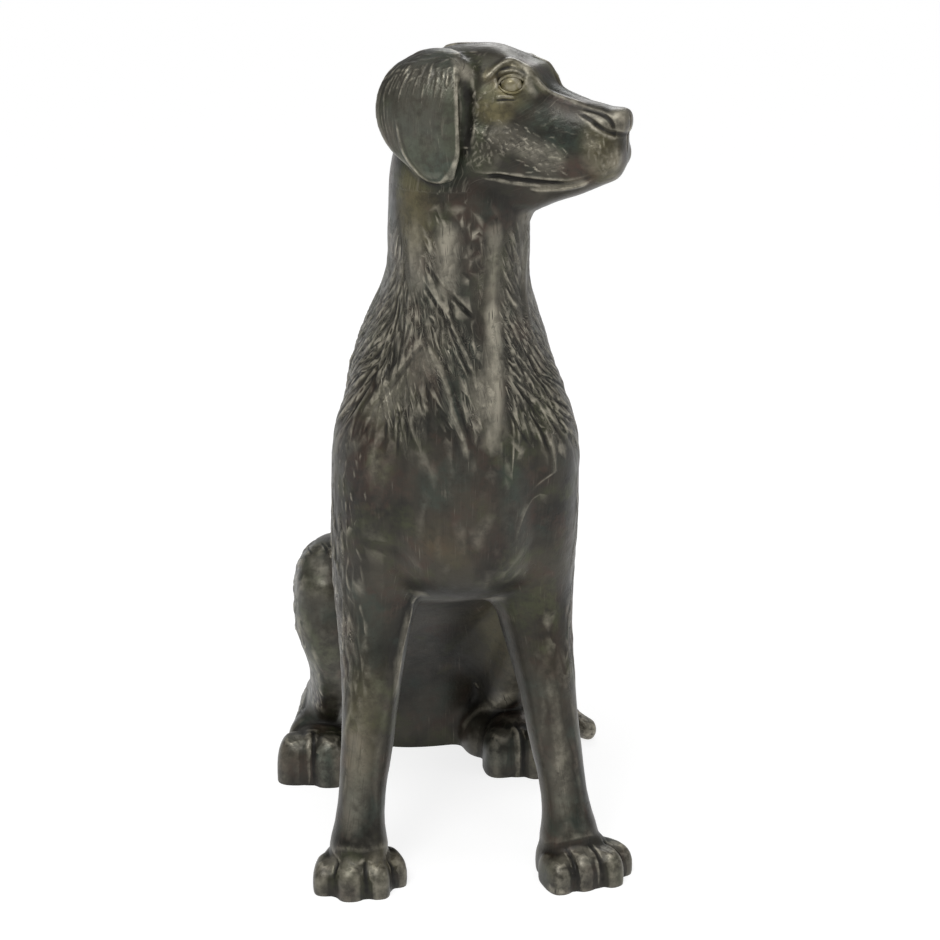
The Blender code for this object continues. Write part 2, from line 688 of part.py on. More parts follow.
def stand_flat(obj):
    """Cuts the figure off flat at the ground."""
    form = bmesh.new()
    form.from_mesh(obj.data)
    everything = form.verts[:] + form.edges[:] + form.faces[:]
    ground = bmesh.ops.bisect_plane(
        form, geom=everything, plane_co=(0, 0, 0), plane_no=(0, 0, 1), clear_inner=True
    )
    edges = [item for item in ground["geom_cut"] if isinstance(item, bmesh.types.BMEdge)]
    bmesh.ops.holes_fill(form, edges=edges)
    obj.data = mesh_of(form, obj.name)
    return obj


def thin(obj, facets):
    """Fewer triangles, where the form is flattest, and more of them kept on the head and the paws."""
    group = obj.vertex_groups.new(name="plain")
    for vertex in obj.data.vertices:
        height = vertex.co.z / UNIT
        weight = 0.8 if height > 632 else 0.97 if height < 50 else 1.0
        group.add([vertex.index], weight, "REPLACE")
    reduce = obj.modifiers.new("facets", "DECIMATE")
    reduce.ratio = facets / (2 * len(obj.data.polygons))
    reduce.use_collapse_triangulate = True
    reduce.vertex_group = group.name
    reduce.vertex_group_factor = KEEP
    settled(obj)
    obj.vertex_groups.clear()


def bronze():
    """Dark brown bronze under a green patina."""
    material = bpy.data.materials.new("bronze")
    material.use_nodes = True
    shader = material.node_tree.nodes["Principled BSDF"]
    shader.inputs["Base Color"].default_value = (0.075, 0.068, 0.048, 1)
    shader.inputs["Metallic"].default_value = 0.75
    shader.inputs["Roughness"].default_value = 0.42
    return material


def centre(obj):
    """Puts the middle of the figure's box over the origin."""
    corners = np.array(obj.bound_box)
    middle = (corners.min(axis=0) + corners.max(axis=0)) / 2
    obj.data.transform(Matrix.Translation((-middle[0], -middle[1], 0)))


def main():
    for obj in list(bpy.data.objects):
        bpy.data.objects.remove(obj, do_unlink=True)
    dog = figure()
    skin = Skin(dog)
    comb(skin)
    carve(skin)
    skin.settle()
    thin(dog, FACETS)
    stand_flat(dog)
    centre(dog)
    dog.data.materials.append(bronze())
    dog.data.shade_smooth()
    ornament = bpy.data.collections.new("dog garden ornament")
    bpy.context.scene.collection.children.link(ornament)
    ornament.objects.link(dog)
    bpy.context.scene.collection.objects.unlink(dog)


if __name__ == "__main__":
    main()
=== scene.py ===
# %% [markdown]
# # A seated dog in patinated bronze
#
# The real ornament is a hollow casting: a sculptor models the dog in clay, a founder casts it, and chemicals
# and weather turn the metal dark brown, green and ochre. This notebook follows the sculptor. It builds the
# big forms, fuses them into one skin, combs the hair, carves the face and the paws, and patinates the metal.
#
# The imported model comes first. It is the fixed frame that the finished dog has to fit.

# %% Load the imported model
import json
import math

import bmesh
import bpy
import numpy as np
from mathutils import Matrix, Vector
from mathutils.bvhtree import BVHTree
from mathutils.kdtree import KDTree

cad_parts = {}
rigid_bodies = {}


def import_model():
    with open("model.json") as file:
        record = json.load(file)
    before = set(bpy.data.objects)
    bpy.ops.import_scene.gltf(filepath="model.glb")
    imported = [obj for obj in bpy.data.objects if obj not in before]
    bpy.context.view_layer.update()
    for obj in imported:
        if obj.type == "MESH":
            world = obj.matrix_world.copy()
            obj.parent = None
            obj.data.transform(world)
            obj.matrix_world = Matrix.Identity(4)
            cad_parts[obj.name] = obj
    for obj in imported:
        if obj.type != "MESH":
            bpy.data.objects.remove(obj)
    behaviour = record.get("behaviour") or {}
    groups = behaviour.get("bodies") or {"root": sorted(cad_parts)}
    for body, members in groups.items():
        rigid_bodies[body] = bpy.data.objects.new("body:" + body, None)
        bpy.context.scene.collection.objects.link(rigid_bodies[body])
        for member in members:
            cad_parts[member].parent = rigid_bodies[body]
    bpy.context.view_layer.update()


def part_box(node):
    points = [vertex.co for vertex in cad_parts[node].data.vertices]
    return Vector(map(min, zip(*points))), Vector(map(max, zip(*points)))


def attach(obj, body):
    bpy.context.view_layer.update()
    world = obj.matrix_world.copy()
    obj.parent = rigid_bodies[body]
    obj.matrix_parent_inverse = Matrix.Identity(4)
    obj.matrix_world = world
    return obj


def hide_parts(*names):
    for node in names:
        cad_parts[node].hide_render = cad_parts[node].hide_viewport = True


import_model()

# %% [markdown]
# ## A sculptor's grid
#
# Blender works in metres, but a head is easier to think out in small whole numbers. Every form here stands
# on a grid of 760 units from the ground to the crown, and one unit is a millimetre on the real dog. The dog
# faces -Y, its left is at +X, and +Z is up. Lengths are in units and turns in degrees, unless a note says
# otherwise.

# %% The grid and the grain of the clay
HEIGHT = 0.760
GRID = 760
UNIT = HEIGHT / GRID
# The head is turned to the dog's left about an upright line through this point.
HEAD_TURN = 60.0
NECK_AXIS = (4, 5, 0)
# The x midway between the legs.
LEG_LINE = 1
# The voxel that each stage is fused at, and its rounds of smoothing. A finer skin takes more rounds, so that
# it ends as smooth as 4 rounds leave a skin of 2.7.
BODY_GRAIN, BODY_ROUNDS = 5.0, 14
HEAD_GRAIN, HEAD_ROUNDS = 2.6, 8
SKIN_GRAIN = 1.5
SKIN_ROUNDS = round(4 * (2.7 / SKIN_GRAIN) ** 2)
# The triangles that are left of the skin in the end.
FACETS = 192000


def grid(point):
    """A point of the grid, in metres."""
    return Vector(point) * UNIT


def set_at(point, turn):
    """The move that turns a form about +Z and then takes it to a point."""
    return Matrix.Translation(point) @ Matrix.Rotation(math.radians(turn), 4, "Z")


def add_object(name, data):
    """A new object in the scene, with a mesh, a light or a camera as its data."""
    obj = bpy.data.objects.new(name, data)
    bpy.context.scene.collection.objects.link(obj)
    return obj


def read(items, field):
    """A field of three numbers that all items of a mesh have, such as the place of its points, as rows."""
    values = np.empty(len(items) * 3)
    items.foreach_get(field, values)
    return values.reshape(-1, 3)


def mesh_of(form, name):
    """The mesh that a bmesh was worked into."""
    bmesh.ops.recalc_face_normals(form, faces=form.faces)
    mesh = bpy.data.meshes.new(name)
    form.to_mesh(mesh)
    form.free()
    return mesh


def settled(obj):
    """The object with its modifiers applied."""
    graph = bpy.context.evaluated_depsgraph_get()
    mesh = bpy.data.meshes.new_from_object(obj.evaluated_get(graph))
    obj.modifiers.clear()
    obj.data = mesh
    return obj


print("one unit is", UNIT * 1000, "mm, and the skin is modelled at", SKIN_GRAIN, "units")

# %% [markdown]
# ## Balls and lofts
#
# A clay figure starts as lumps and rolls. A lump is an ellipsoid, made a little boxy where the form is
# square. A roll is a loft: oval sections are set along a line, and a smooth curve through them gives the
# sections in between. Lofts suit a body better than stretched primitives, because each section is a real
# measurement, such as the width of the chest.

# %% Lumps of clay


def ball(centre, half, turn=(0, 0, 0), square=2.0):
    """An ellipsoid with these half sizes, turned by these degrees, and boxier above a square of 2."""
    angles = [math.radians(angle) for angle in turn]
    turned = Matrix.Rotation(angles[2], 4, "Z") @ Matrix.Rotation(angles[1], 4, "Y")
    turned = turned @ Matrix.Rotation(angles[0], 4, "X")
    place = Matrix.Translation(grid(centre)) @ turned @ Matrix.Diagonal((*grid(half), 1))
    form = bmesh.new()
    bmesh.ops.create_uvsphere(form, u_segments=32, v_segments=20, radius=1)
    for vertex in form.verts:
        squared = [math.copysign(abs(value) ** (2 / square), value) for value in vertex.co]
        vertex.co = place @ Vector(squared)
    return add_object("ball", mesh_of(form, "ball"))


def between(rows, steps=6):
    """Rows of numbers with a smooth run of further rows between each pair: a Catmull-Rom spline."""
    rows = np.array(rows, float)
    padded = np.vstack([2 * rows[0] - rows[1], rows, 2 * rows[-1] - rows[-2]])
    run = []
    for a, b, c, d in zip(padded, padded[1:], padded[2:], padded[3:]):
        for t in np.arange(steps) / steps:
            run.append(b + 0.5 * t * (c - a + t * (2 * a - 5 * b + 4 * c - d + t * (3 * (b - c) + d - a))))
    return np.array(run + [rows[-1]])


# %% Rolls of clay
# The points round a section, and the angles of the rings that round off either end.
RING = 28
CAP_ANGLES = (30, 55, 75, 87)


def loft(sections, dome=(0.6, 0.6), square=2.0):
    """A closed form through oval sections, each a centre, a half width and a half depth as vectors."""
    run = between([[*centre, *wide, *deep] for centre, wide, deep in sections])
    rings = [(row[:3], row[3:6], row[6:9]) for row in run]
    for end, inner, share in ((0, 1, dome[0]), (-1, -2, dome[1])):
        centre, wide, deep = rings[end]
        outward = centre - rings[inner][0]
        outward = outward / np.linalg.norm(outward) * np.linalg.norm(deep) * share
        cap = []
        for angle in np.radians(CAP_ANGLES):
            cap.append((centre + outward * math.sin(angle), wide * math.cos(angle), deep * math.cos(angle)))
        rings = cap[::-1] + rings if end == 0 else rings + cap
    form = bmesh.new()
    around = np.arange(RING) * 2 * math.pi / RING
    across = np.sign(np.cos(around)) * np.abs(np.cos(around)) ** (2 / square)
    through = np.sign(np.sin(around)) * np.abs(np.sin(around)) ** (2 / square)
    loops = []
    for centre, wide, deep in rings:
        points = centre + np.outer(across, wide) + np.outer(through, deep)
        loops.append([form.verts.new(grid(point)) for point in points])
    for lower, upper in zip(loops, loops[1:]):
        for i in range(RING):
            form.faces.new((lower[i - 1], lower[i], upper[i], upper[i - 1]))
    for loop in (loops[0], loops[-1]):
        form.faces.new(loop)
    return add_object("loft", mesh_of(form, "loft"))


def limb(stations, across=(1, 0, 0), dome=(0.6, 0.6)):
    """A loft through stations of x, y, z, half width along the across direction, and half depth."""
    stations = np.array(stations, float)
    points = stations[:, :3]
    sections = []
    for point, line, (wide, deep) in zip(points, np.gradient(points, axis=0), stations[:, 3:]):
        line = line / np.linalg.norm(line)
        side = np.array(across, float) - np.dot(across, line) * line
        side = side / np.linalg.norm(side)
        sections.append((point, side * wide, np.cross(side, line) * deep))
    return loft(sections, dome)


# %% [markdown]
# ## One skin
#
# Lumps that only touch look like a balloon animal. The Remesh modifier in voxel mode wraps all of them in one
# closed skin, and the Smooth modifier then works like a thumb that presses the joins flat. Booleans would
# also join them, but they keep every crease.

# %% Fuse lumps into one skin


def fuse(name, forms, grain, rounds, finer=0):
    """One closed skin round overlapping forms, smoothed like clay. The forms are used up."""
    form = bmesh.new()
    for obj in forms:
        obj.data.transform(obj.matrix_world)
        form.from_mesh(obj.data)
        bpy.data.objects.remove(obj, do_unlink=True)
    fused = add_object(name, mesh_of(form, name))
    remesh = fused.modifiers.new("one skin", "REMESH")
    remesh.mode = "VOXEL"
    remesh.voxel_size = grain * UNIT
    thumb = fused.modifiers.new("thumb", "SMOOTH")
    thumb.factor = 0.5
    thumb.iterations = rounds
    if finer:
        divide = fused.modifiers.new("finer", "SUBSURF")
        divide.levels = divide.render_levels = finer
    return settled(fused)


# %% [markdown]
# ## The body
#
# The trunk rises from the seat to the neck in one loft. It leans: the breast stays upright over the fore legs
# while the back slopes down to the rump. The fore legs are straight posts, each hind leg is folded, and the
# tail lies round the dog's left side.

# %% The trunk
# From the neck to the seat: points of the back and of the front as (y, z), and the half width.
TRUNK = (
    ((46, 728), (-30, 718), 34),
    ((60, 702), (-44, 690), 46),
    ((72, 662), (-56, 648), 59),
    ((73, 612), (-58, 598), 62),
    ((84, 570), (-55, 548), 62.5),
    ((114, 530), (-61, 494), 77.5),
    ((158, 478), (-73, 426), 94),
    ((206, 412), (-72, 350), 96.5),
    ((250, 348), (-50, 282), 94),
    ((292, 288), (44, 240), 88),
    ((332, 222), (126, 208), 86),
    ((364, 156), (186, 156), 84),
    ((384, 90), (234, 98), 80),
    ((386, 30), (261, 30), 76),
    ((380, -20), (263, -20), 72),
)


def trunk():
    """The trunk as a loft of boxy sections that run from the back to the front."""
    sections = []
    for (back_y, back_z), (front_y, front_z), half_width in TRUNK:
        back = np.array([NECK_AXIS[0], back_y, back_z])
        front = np.array([NECK_AXIS[0], front_y, front_z])
        sections.append(((back + front) / 2, np.array([half_width, 0, 0]), (front - back) / 2))
    return loft(sections, square=2.3)


print("sections of the trunk:", len(TRUNK), "up to", 2 * max(half for _, _, half in TRUNK), "units wide")

# %% The legs and the tail
# Limbs of the left side from top to bottom, as x, y, z, half width and half depth.
FORE_LEG = (
    (60, 6, 462, 33, 50),
    (69, 6, 410, 41.5, 62),
    (71, 12, 345, 41.5, 58),
    (72, 18, 290, 40, 49),
    (73, 20, 255, 38, 42),
    (77, 9, 215, 32, 34),
    (82, -8, 172, 27, 29),
    (87.5, -18, 125, 24.8, 25),
    (93, -25, 88, 22.5, 25),
    (96, -30, 60, 23.5, 26),
    (98, -34, 42, 27, 30),
    (98, -36, 28, 30, 34),
)
THIGH = (
    (48, 306, 130, 56, 70),
    (78, 252, 170, 54, 74),
    (99, 206, 205, 44, 58),
    (108, 178, 224, 33, 40),
)
SHIN = (
    (106, 174, 224, 31, 33),
    (108, 186, 176, 30, 36),
    (98.5, 206, 128, 26, 34),
    (97, 236, 84, 25, 31),
    (106, 286, 44, 25, 27),
)
INSTEP = (
    (108, 300, 22, 22, 28),
    (112, 268, 26, 27, 25),
    (114, 238, 28, 33, 27),
)
TAIL = (
    (0, 360, 62, 30, 30),
    (26, 396, 40, 27, 27),
    (78, 404, 24, 24, 23),
    (124, 376, 17, 21, 19),
    (150, 328, 12, 19, 14),
    (168, 284, 10, 15, 12),
    (180, 257, 11, 13, 11),
)
# How far out the feet stand and how far in the knee, on the right side, -1, and on the left, 1.
FORE_FOOT = {-1: -2, 1: 2.5}
HIND_FOOT = {-1: 0, 1: -22}
KNEE_IN = {-1: 4, 1: 6}


def shift(stations, side, foot=0.0, top=200.0):
    """Stations given for the left, put on this side, with a foot that stands further out by so much."""
    moved = []
    for x, y, z, wide, deep in stations:
        out = foot * max(0.0, 1 - z / top)
        moved.append((side * (x + out) + LEG_LINE, y, z, wide, deep))
    return moved


def body():
    """The trunk, neck and upper limbs, fused and smoothed together."""
    forms = [trunk(), limb(TAIL, across=(0, 0, 1))]
    for side in (-1, 1):
        forms.append(limb(shift(FORE_LEG, side, FORE_FOOT[side], top=300)))
        forms.append(limb([(x - side * KNEE_IN[side], *rest) for x, *rest in shift(THIGH, side)]))
        for stations in (SHIN, INSTEP):
            forms.append(limb(shift(stations, side, HIND_FOOT[side], top=240)))
    # The soft fold inside the left hind leg.
    forms.append(ball((66, 256, 14), (27, 38, 32)))
    return fuse("body", forms, BODY_GRAIN, BODY_ROUNDS, finer=1)


print("stations of the legs and the tail:", [len(line) for line in (FORE_LEG, THIGH, SHIN, INSTEP, TAIL)])

# %% [markdown]
# ## The paws
#
# A paw is one broad lump with the toes set into its front edge, so that only their knuckles and tips stand
# out. The hind paws show three toes, and the first of them is the largest.

# %% The paws
# The toes of each paw, from the dog's right to its left, as x, y, turn and half width.
RIGHT_TOES = ((-29, -13, -12, 12), (-8.5, -27, -3, 14), (15, -26, 4, 12), (32, -6, 14, 10.5))
LEFT_TOES = ((-32, -21, -12, 12), (-11.5, -26, -4, 12.5), (13, -33, 4, 12.5), (31, -20, 14, 11))
RIGHT_HIND_TOES = ((-24, -20, -8, 19), (10, -29, 0, 17), (33, -22, 10, 13))
LEFT_HIND_TOES = ((-23, -22, -8, 17), (10, -36, 0, 16), (33, -39, 10, 13))
# How far the web between two toes stands back, and how much lower a toe is for each unit from the middle.
WEB = 3.5
DROP = 0.22
TOE_SQUARE = 2.8
# Each paw's ankle, turn, toes, height, and the half height of the pad behind the toes.
PAWS = (
    ((-97, -28, 0), 0, RIGHT_TOES, 34, 30),
    ((103, -37, 0), 24, LEFT_TOES, 35, 36),
    ((-112, 226, 0), -4, RIGHT_HIND_TOES, 52, 42),
    ((91, 222, 0), 10, LEFT_HIND_TOES, 50, 46),
)
# The line of a cleft: how far ahead of the toes' tips it runs, and its height as a share of the paw's.
CLEFT = ((2, 1), (-12, 0.85), (-20, 0.45))
# The ridge across a toe: how far out in half widths, what share of the toe's lean is added to that, how far
# ahead, and how high as a share of the paw's height.
RIDGE = (
    (-0.8, 0, 0, 0.98),
    (-0.5, 0.3, -9, 0.95),
    (0, 0.6, -17, 0.88),
    (0.5, 0, -10, 0.94),
    (0.8, 0, 1, 0.98),
)
TOE_LEAN = (-0.5, 0.4, -0.1, 0.6)


def paw(ankle, turn, toes, height, back):
    """The lumps of a paw in front of the ankle: its pad, its toes and the webs between them."""
    forms = [ball((0, -5, 9), (34, 36, back - 2), square=2.3)]
    for x, y, spread, half in toes:
        tall = height - 8 - abs(x) * DROP
        forms.append(ball((x, y, 8), (half, 24, tall), (0, 0, spread), TOE_SQUARE))
    for (x, y, *_), (next_x, next_y, *_) in zip(toes, toes[1:]):
        middle, tall = (x + next_x) / 2, height - 9 - abs(x + next_x) * DROP / 2
        centre, half_sizes = (middle, (y + next_y) / 2 + WEB, 8), ((next_x - x) / 2, 24, tall)
        forms.append(ball(centre, half_sizes, square=TOE_SQUARE))
    for form in forms:
        form.data.transform(set_at(grid(ankle), turn))
    return forms


def clefts(ankle, turn, toes, height, *_):
    """The lines between the toes of a paw, from the knuckles down to the ground."""
    place = set_at(ankle, turn)
    for (x, y, _, half), (next_x, next_y, _, next_half) in zip(toes, toes[1:]):
        middle = (x + half + next_x - next_half) / 2
        front = max(y, next_y)
        route = [(front + ahead, height * up) for ahead, up in CLEFT] + [(front - 21, 2)]
        yield [place @ Vector((middle, y, z)) for y, z in route]


def crease(ankle, turn, toes, height, *_):
    """The fold across a paw, where its toes leave the leg."""
    place = set_at(ankle, turn)
    return [place @ Vector((x, y + 4, height + 3 - abs(x) * 0.2)) for x, y, *_ in toes]


def knuckles(ankle, turn, toes, height, *_):
    """An uneven ridge across the top of each toe, bent forward like a shallow V."""
    place = set_at(ankle, turn)
    for lean, (x, y, _, half) in zip(TOE_LEAN, toes):
        bow = [(out + lean * share, ahead, up) for out, share, ahead, up in RIDGE]
        yield [place @ Vector((x + out * half, y + ahead, up * height)) for out, ahead, up in bow]


print("toes of the four paws:", [len(toes) for _, _, toes, _, _ in PAWS])

# %% [markdown]
# ## The head
#
# The head is modelled facing forward and turned later, so both sides can share their numbers. A retriever's
# head is a deep box for the muzzle and a rounder box for the skull, with a clear step between them. The plane
# that runs from the forehead down that step and along the muzzle is a form of its own, because its edges are
# the brow ridges that give the dog its look.

# %% The skull and muzzle
# From the back of the skull to the lips: y, top, bottom and half width.
HEAD = (
    (52, 722, 690, 20),
    (44, 736, 664, 36),
    (22, 753, 642, 49),
    (-8, 760, 636, 52),
    (-34, 761, 617, 50),
    (-56, 753, 615, 44),
    (-74, 738, 621, 36),
    (-92, 726, 629, 30.5),
    (-112, 718, 636, 27),
    (-132, 714, 645, 24),
    (-145, 708, 651, 20),
    (-149, 699, 658, 14),
)
# From the forehead to the nose: y, top and half width.
BRIDGE = (
    (-36, 758, 24),
    (-52, 754, 28),
    (-64, 748, 31),
    (-75, 744, 32),
    (-82, 733, 27),
    (-90, 723.5, 19),
    (-108, 716, 16),
    (-128, 714, 15),
)
BRIDGE_HALF = 13


def bridge():
    """The plane of the forehead and the muzzle."""
    sections = []
    for y, top, half in BRIDGE:
        middle = np.array([0, y, top - BRIDGE_HALF])
        sections.append((middle, np.array([half, 0, 0]), np.array([0, 0, BRIDGE_HALF])))
    return loft(sections, dome=(0.4, 0.4), square=4)


def head():
    """The skull and muzzle, with nose, throat and bridge, and the cheek, lip and ear root of either side."""
    sections = []
    for y, top, bottom, half in HEAD:
        middle = np.array([0, y, (top + bottom) / 2])
        sections.append((middle, np.array([half, 0, 0]), np.array([0, 0, (top - bottom) / 2])))
    forms = [
        loft(sections, dome=(0.4, 0.2), square=2.4),
        ball((0, -144.5, 700), (17, 11.5, 12), square=2.9),
        ball((0, -45, 616), (24, 22, 16)),
        bridge(),
    ]
    for side in (-1, 1):
        forms.append(ball((side * 32, -26, 676), (24, 40, 36)))
        forms.append(ball((side * 14, -126, 672), (14, 27, 19)))
        forms.append(ball((side * 38, -6, 734), (20, 30, 20)))
    return fuse("head", forms, HEAD_GRAIN, HEAD_ROUNDS, finer=1)


print("the skull and muzzle run over", HEAD[0][0] - HEAD[-1][0], "units from the back to the front")

# %% The ears
# From the root to the tip: z, distance out and forward, half width and half thickness.
EAR = (
    (752, 38, -5, 24, 11),
    (742, 51, -9, 33, 11),
    (722, 60, -12.8, 39, 10),
    (698, 63, -12, 40, 9.5),
    (676, 63, -6, 35, 9),
    (658, 62, 2, 22, 8.5),
)


def ear(side):
    """A hanging ear, a little nearer to the head behind than in front."""
    sections = []
    for z, out, forward, half, thick in EAR:
        centre = np.array([side * out, -forward, z], float)
        sections.append((centre, np.array([side * 5.0, -half, 0]), np.array([side * thick, 0, 0])))
    return loft(sections, dome=(1.0, 1.2))


print("an ear hangs down by", EAR[0][0] - EAR[-1][0], "units, without its round ends")

# %% The whole figure
HEAD_PLACE = set_at(grid(NECK_AXIS), HEAD_TURN)


def figure():
    """The whole dog in one skin, before it is carved."""
    crown = [head(), ear(-1), ear(1)]
    for form in crown:
        form.data.transform(HEAD_PLACE)
    forms = [body(), *crown]
    for place in PAWS:
        forms += paw(*place)
    return fuse("bronze_dog", forms, SKIN_GRAIN, SKIN_ROUNDS)


dog = figure()
print("points on the uncarved skin:", len(dog.data.vertices))

# %% [markdown]
# ## Carving tools
#
# The modelling tool raises or sinks the skin along its own outward direction. Each tool adds to one number
# for every point of the skin, and the skin moves only once, at the end, so that strokes can cross without
# tearing it. A route is given roughly and snapped to the skin with a BVH tree, Blender's fast search for the
# nearest surface.

# %% The skin and its measurements


class Skin:
    """The skin while it is carved: its points, the way out at each, and how far it is raised."""

    def __init__(self, obj):
        self.obj = obj
        self.points = read(obj.data.vertices, "co") / UNIT
        self.outward = read(obj.data.vertex_normals, "vector")
        self.raised, self.locks, self.strands, self.cuts = np.zeros((4, len(self.points)))
        self.comb = np.zeros((len(self.points), 3))
        self.order = np.argsort(self.points[:, 2])
        self.heights = self.points[self.order, 2]
        self.tree = BVHTree.FromObject(obj, bpy.context.evaluated_depsgraph_get())

    def snap(self, point):
        """The nearest point of the skin, and the way out there."""
        place, outward = self.tree.find_nearest(grid(point))[:2]
        return np.array(place) / UNIT, np.array(outward)

    def hit(self, start, end):
        """Where a line from start to end first meets the skin, or None."""
        way = grid(end) - grid(start)
        place = self.tree.ray_cast(grid(start), way.normalized(), way.length)[0]
        return None if place is None else np.array(place) / UNIT

    def near(self, middle, reach):
        """The numbers of the points within reach of the middle."""
        low, high = np.searchsorted(self.heights, (middle[2] - reach, middle[2] + reach))
        slab = self.order[low:high]
        slab = slab[np.abs(self.points[slab, 0] - middle[0]) < reach]
        return slab[np.linalg.norm(self.points[slab] - middle, axis=1) < reach]

    def beside(self, route, width):
        """The points within a width of a route laid on the skin, their gaps to it, and how far along it."""
        line = np.array([self.snap(point)[0] for point in between(route, 4)])
        middle = (line.min(axis=0) + line.max(axis=0)) / 2
        spots = self.near(middle, np.linalg.norm(line - middle, axis=1).max() + width)
        best = np.full(len(spots), np.inf)
        along = np.zeros(len(spots))
        for number, (start, end) in enumerate(zip(line, line[1:])):
            way = end - start
            share = np.clip((self.points[spots] - start) @ way / max(way @ way, 1e-9), 0, 1)
            gap = np.linalg.norm(self.points[spots] - start - share[:, None] * way, axis=1)
            closer = gap < best
            best[closer] = gap[closer]
            along[closer] = (number + share[closer]) / (len(line) - 1)
        close = best < width
        return spots[close], best[close], along[close]


# %% Strokes and smooth bands


def stroke(skin, route, width, height, taper=6):
    """Raises a rounded ridge along a route, or cuts a groove with a height below nothing.

    Its ends start at a tenth of the height, and reach all of it the sooner the higher the taper.
    """
    spots, gap, along = skin.beside(route, width)
    rounded = (1 - (gap / width) ** 2) ** 2
    ends = np.clip(np.minimum(along, 1 - along) * taper + 0.1, 0, 1)
    skin.raised[spots] += height * rounded * ends


def calm(skin, route, width):
    """Presses the hair flat along a route."""
    spots, gap, along = skin.beside(route, width)
    ends = np.clip(np.minimum(along, 1 - along) * 5, 0, 1)
    pressed = 1 - ends * (1 - (gap / width) ** 2)
    for layer in (skin.locks, skin.strands, skin.cuts):
        layer[spots] *= pressed


# %% [markdown]
# ## Locks of hair
#
# A sculptor doesn't model hairs. The coat is made of locks: flat leaves of clay that widen and thicken along
# the flow and end in a point, each laid partly over the last. A lock here walks over the skin in short steps,
# always along the lie of the hair, and raises the points beside its path. Where locks overlap, the higher one
# wins. Each point also keeps its place in its lock, which later guides the fine scratches in the metal.

# %% One lock
# The share of a lock's length at which it is widest.
WIDEST = 0.4


def lock(skin, layer, start, flow, size, number, pieces=8):
    """Raises one lock in a layer of the skin, from its start along the flow."""
    length, width, height = size
    path, ways, sides = [], [], []
    point, outward = skin.snap(start)
    for _ in range(pieces + 1):
        way = flow(point)
        way = way - way @ outward * outward
        way = way / max(np.linalg.norm(way), 1e-9)
        path.append(point)
        ways.append(way)
        sides.append(np.cross(outward, way))
        point, outward = skin.snap(point + way * length / pieces)
    path, ways, sides = np.array(path), np.array(ways), np.array(sides)
    spots = skin.near(path[pieces // 2], length * 0.6 + width)
    if not len(spots):
        return
    offsets = skin.points[spots][:, None] - path[None]
    nearest = np.argmin(np.einsum("ijk,ijk->ij", offsets, offsets), axis=1)
    offset = offsets[np.arange(len(spots)), nearest]
    along = nearest / pieces + np.einsum("ij,ij->i", offset, ways[nearest]) / length
    across = np.einsum("ij,ij->i", offset, sides[nearest])
    narrowing = np.clip(along - WIDEST, 0, 1) / (1 - WIDEST)
    leaf = np.where(along < WIDEST, 1 - WIDEST + along, 1 - narrowing**2)
    inside = (along > 0) & (along < 1) & (leaf > 0)
    inside[inside] = np.abs(across[inside]) < width * leaf[inside]
    spots, along, across, leaf = spots[inside], along[inside], across[inside], leaf[inside]
    rise = np.clip(along * 4, 0, 1) * np.clip((1 - along) * 2.5, 0.3, 1)
    bulge = height * rise * np.clip(1 - (across / (width * leaf)) ** 2, 0, 1) ** 0.8
    higher = bulge > layer[spots]
    spots = spots[higher]
    layer[spots] = bulge[higher]
    if layer is skin.locks:
        skin.comb[spots] = np.stack([across, along * length, np.full(len(along), number)], axis=1)[higher]


# %% [markdown]
# ## The lie of the coat
#
# A guide is a line down the middle of a limb. Round it, a lock is placed by how far down it starts and how
# far it is turned from the front, like a place on a globe. The slope of the hair at each turn is a small
# table: on the breast of this dog the left side sweeps in towards a parting, and the shoulder sweeps out.

# %% Guides


class Guide:
    """A line down the middle of a limb, with the ways to its front and its left all along it."""

    def __init__(self, line, front=(0, -1, 0)):
        self.line = between(line)
        ways = np.gradient(self.line, axis=0)
        self.ways = ways / np.linalg.norm(ways, axis=1)[:, None]
        fronts = np.array(front) - (self.ways @ np.array(front))[:, None] * self.ways
        self.fronts = fronts / np.linalg.norm(fronts, axis=1)[:, None]
        self.lefts = np.cross(self.fronts, self.ways)

    def about(self, share, turn, reach):
        """A line from outside to the middle of the limb, this share of the way down and turned so far."""
        spot = min(int(share * len(self.line)), len(self.line) - 2)
        middle = self.line[spot] + (share * len(self.line) - spot) * (self.line[spot + 1] - self.line[spot])
        turn = math.radians(turn)
        outward = math.cos(turn) * self.fronts[spot] + math.sin(turn) * self.lefts[spot]
        return middle + outward * reach, middle

    def flow(self, point, lean):
        """The way that hair lies at a point. lean maps the turn round the limb to a slope to its left."""
        offsets = point - self.line
        spot = np.argmin(np.einsum("ij,ij->i", offsets, offsets))
        turn = math.atan2(offsets[spot] @ self.lefts[spot], offsets[spot] @ self.fronts[spot])
        slope = np.interp(math.degrees(turn), *lean)
        around = math.cos(turn) * self.lefts[spot] - math.sin(turn) * self.fronts[spot]
        return self.ways[spot] + slope * around


STRAIGHT = ((-180, 180), (0, 0))
# Turns round the trunk from its front, and how far the hair there slopes to its left.
MANE_LEAN = (
    (-180, -140, -88, -64, -48, -12, 2, 12, 24, 70, 150, 180),
    (0, -0.2, -0.5, -0.5, 0.3, 0.4, 0.3, 0.1, 0.3, 0.4, 0.1, 0),
)
# The lowest height that a lock of the mane starts from, at each turn.
MANE_EDGE = ((-180, -100, -70, -45, 0, 30, 60, 90, 180), (0, 350, 405, 462, 486, 466, 425, 350, 0))

TRUNK_LINE = (
    (4, 8, 650),
    (4, 8, 610),
    (4, 12, 560),
    (4, 28, 510),
    (4, 52, 455),
    (4, 80, 390),
    (4, 130, 310),
    (4, 200, 225),
    (4, 262, 140),
    (4, 300, 60),
)

# %% Tufts of locks
# How boldly hair is modelled at each height: it starts faint under the ears and fades out on the breast.
BOLD = ((0, 400, 440, 500, 585, 640), (0.8, 0.8, 0.7, 1, 1, 0.15))
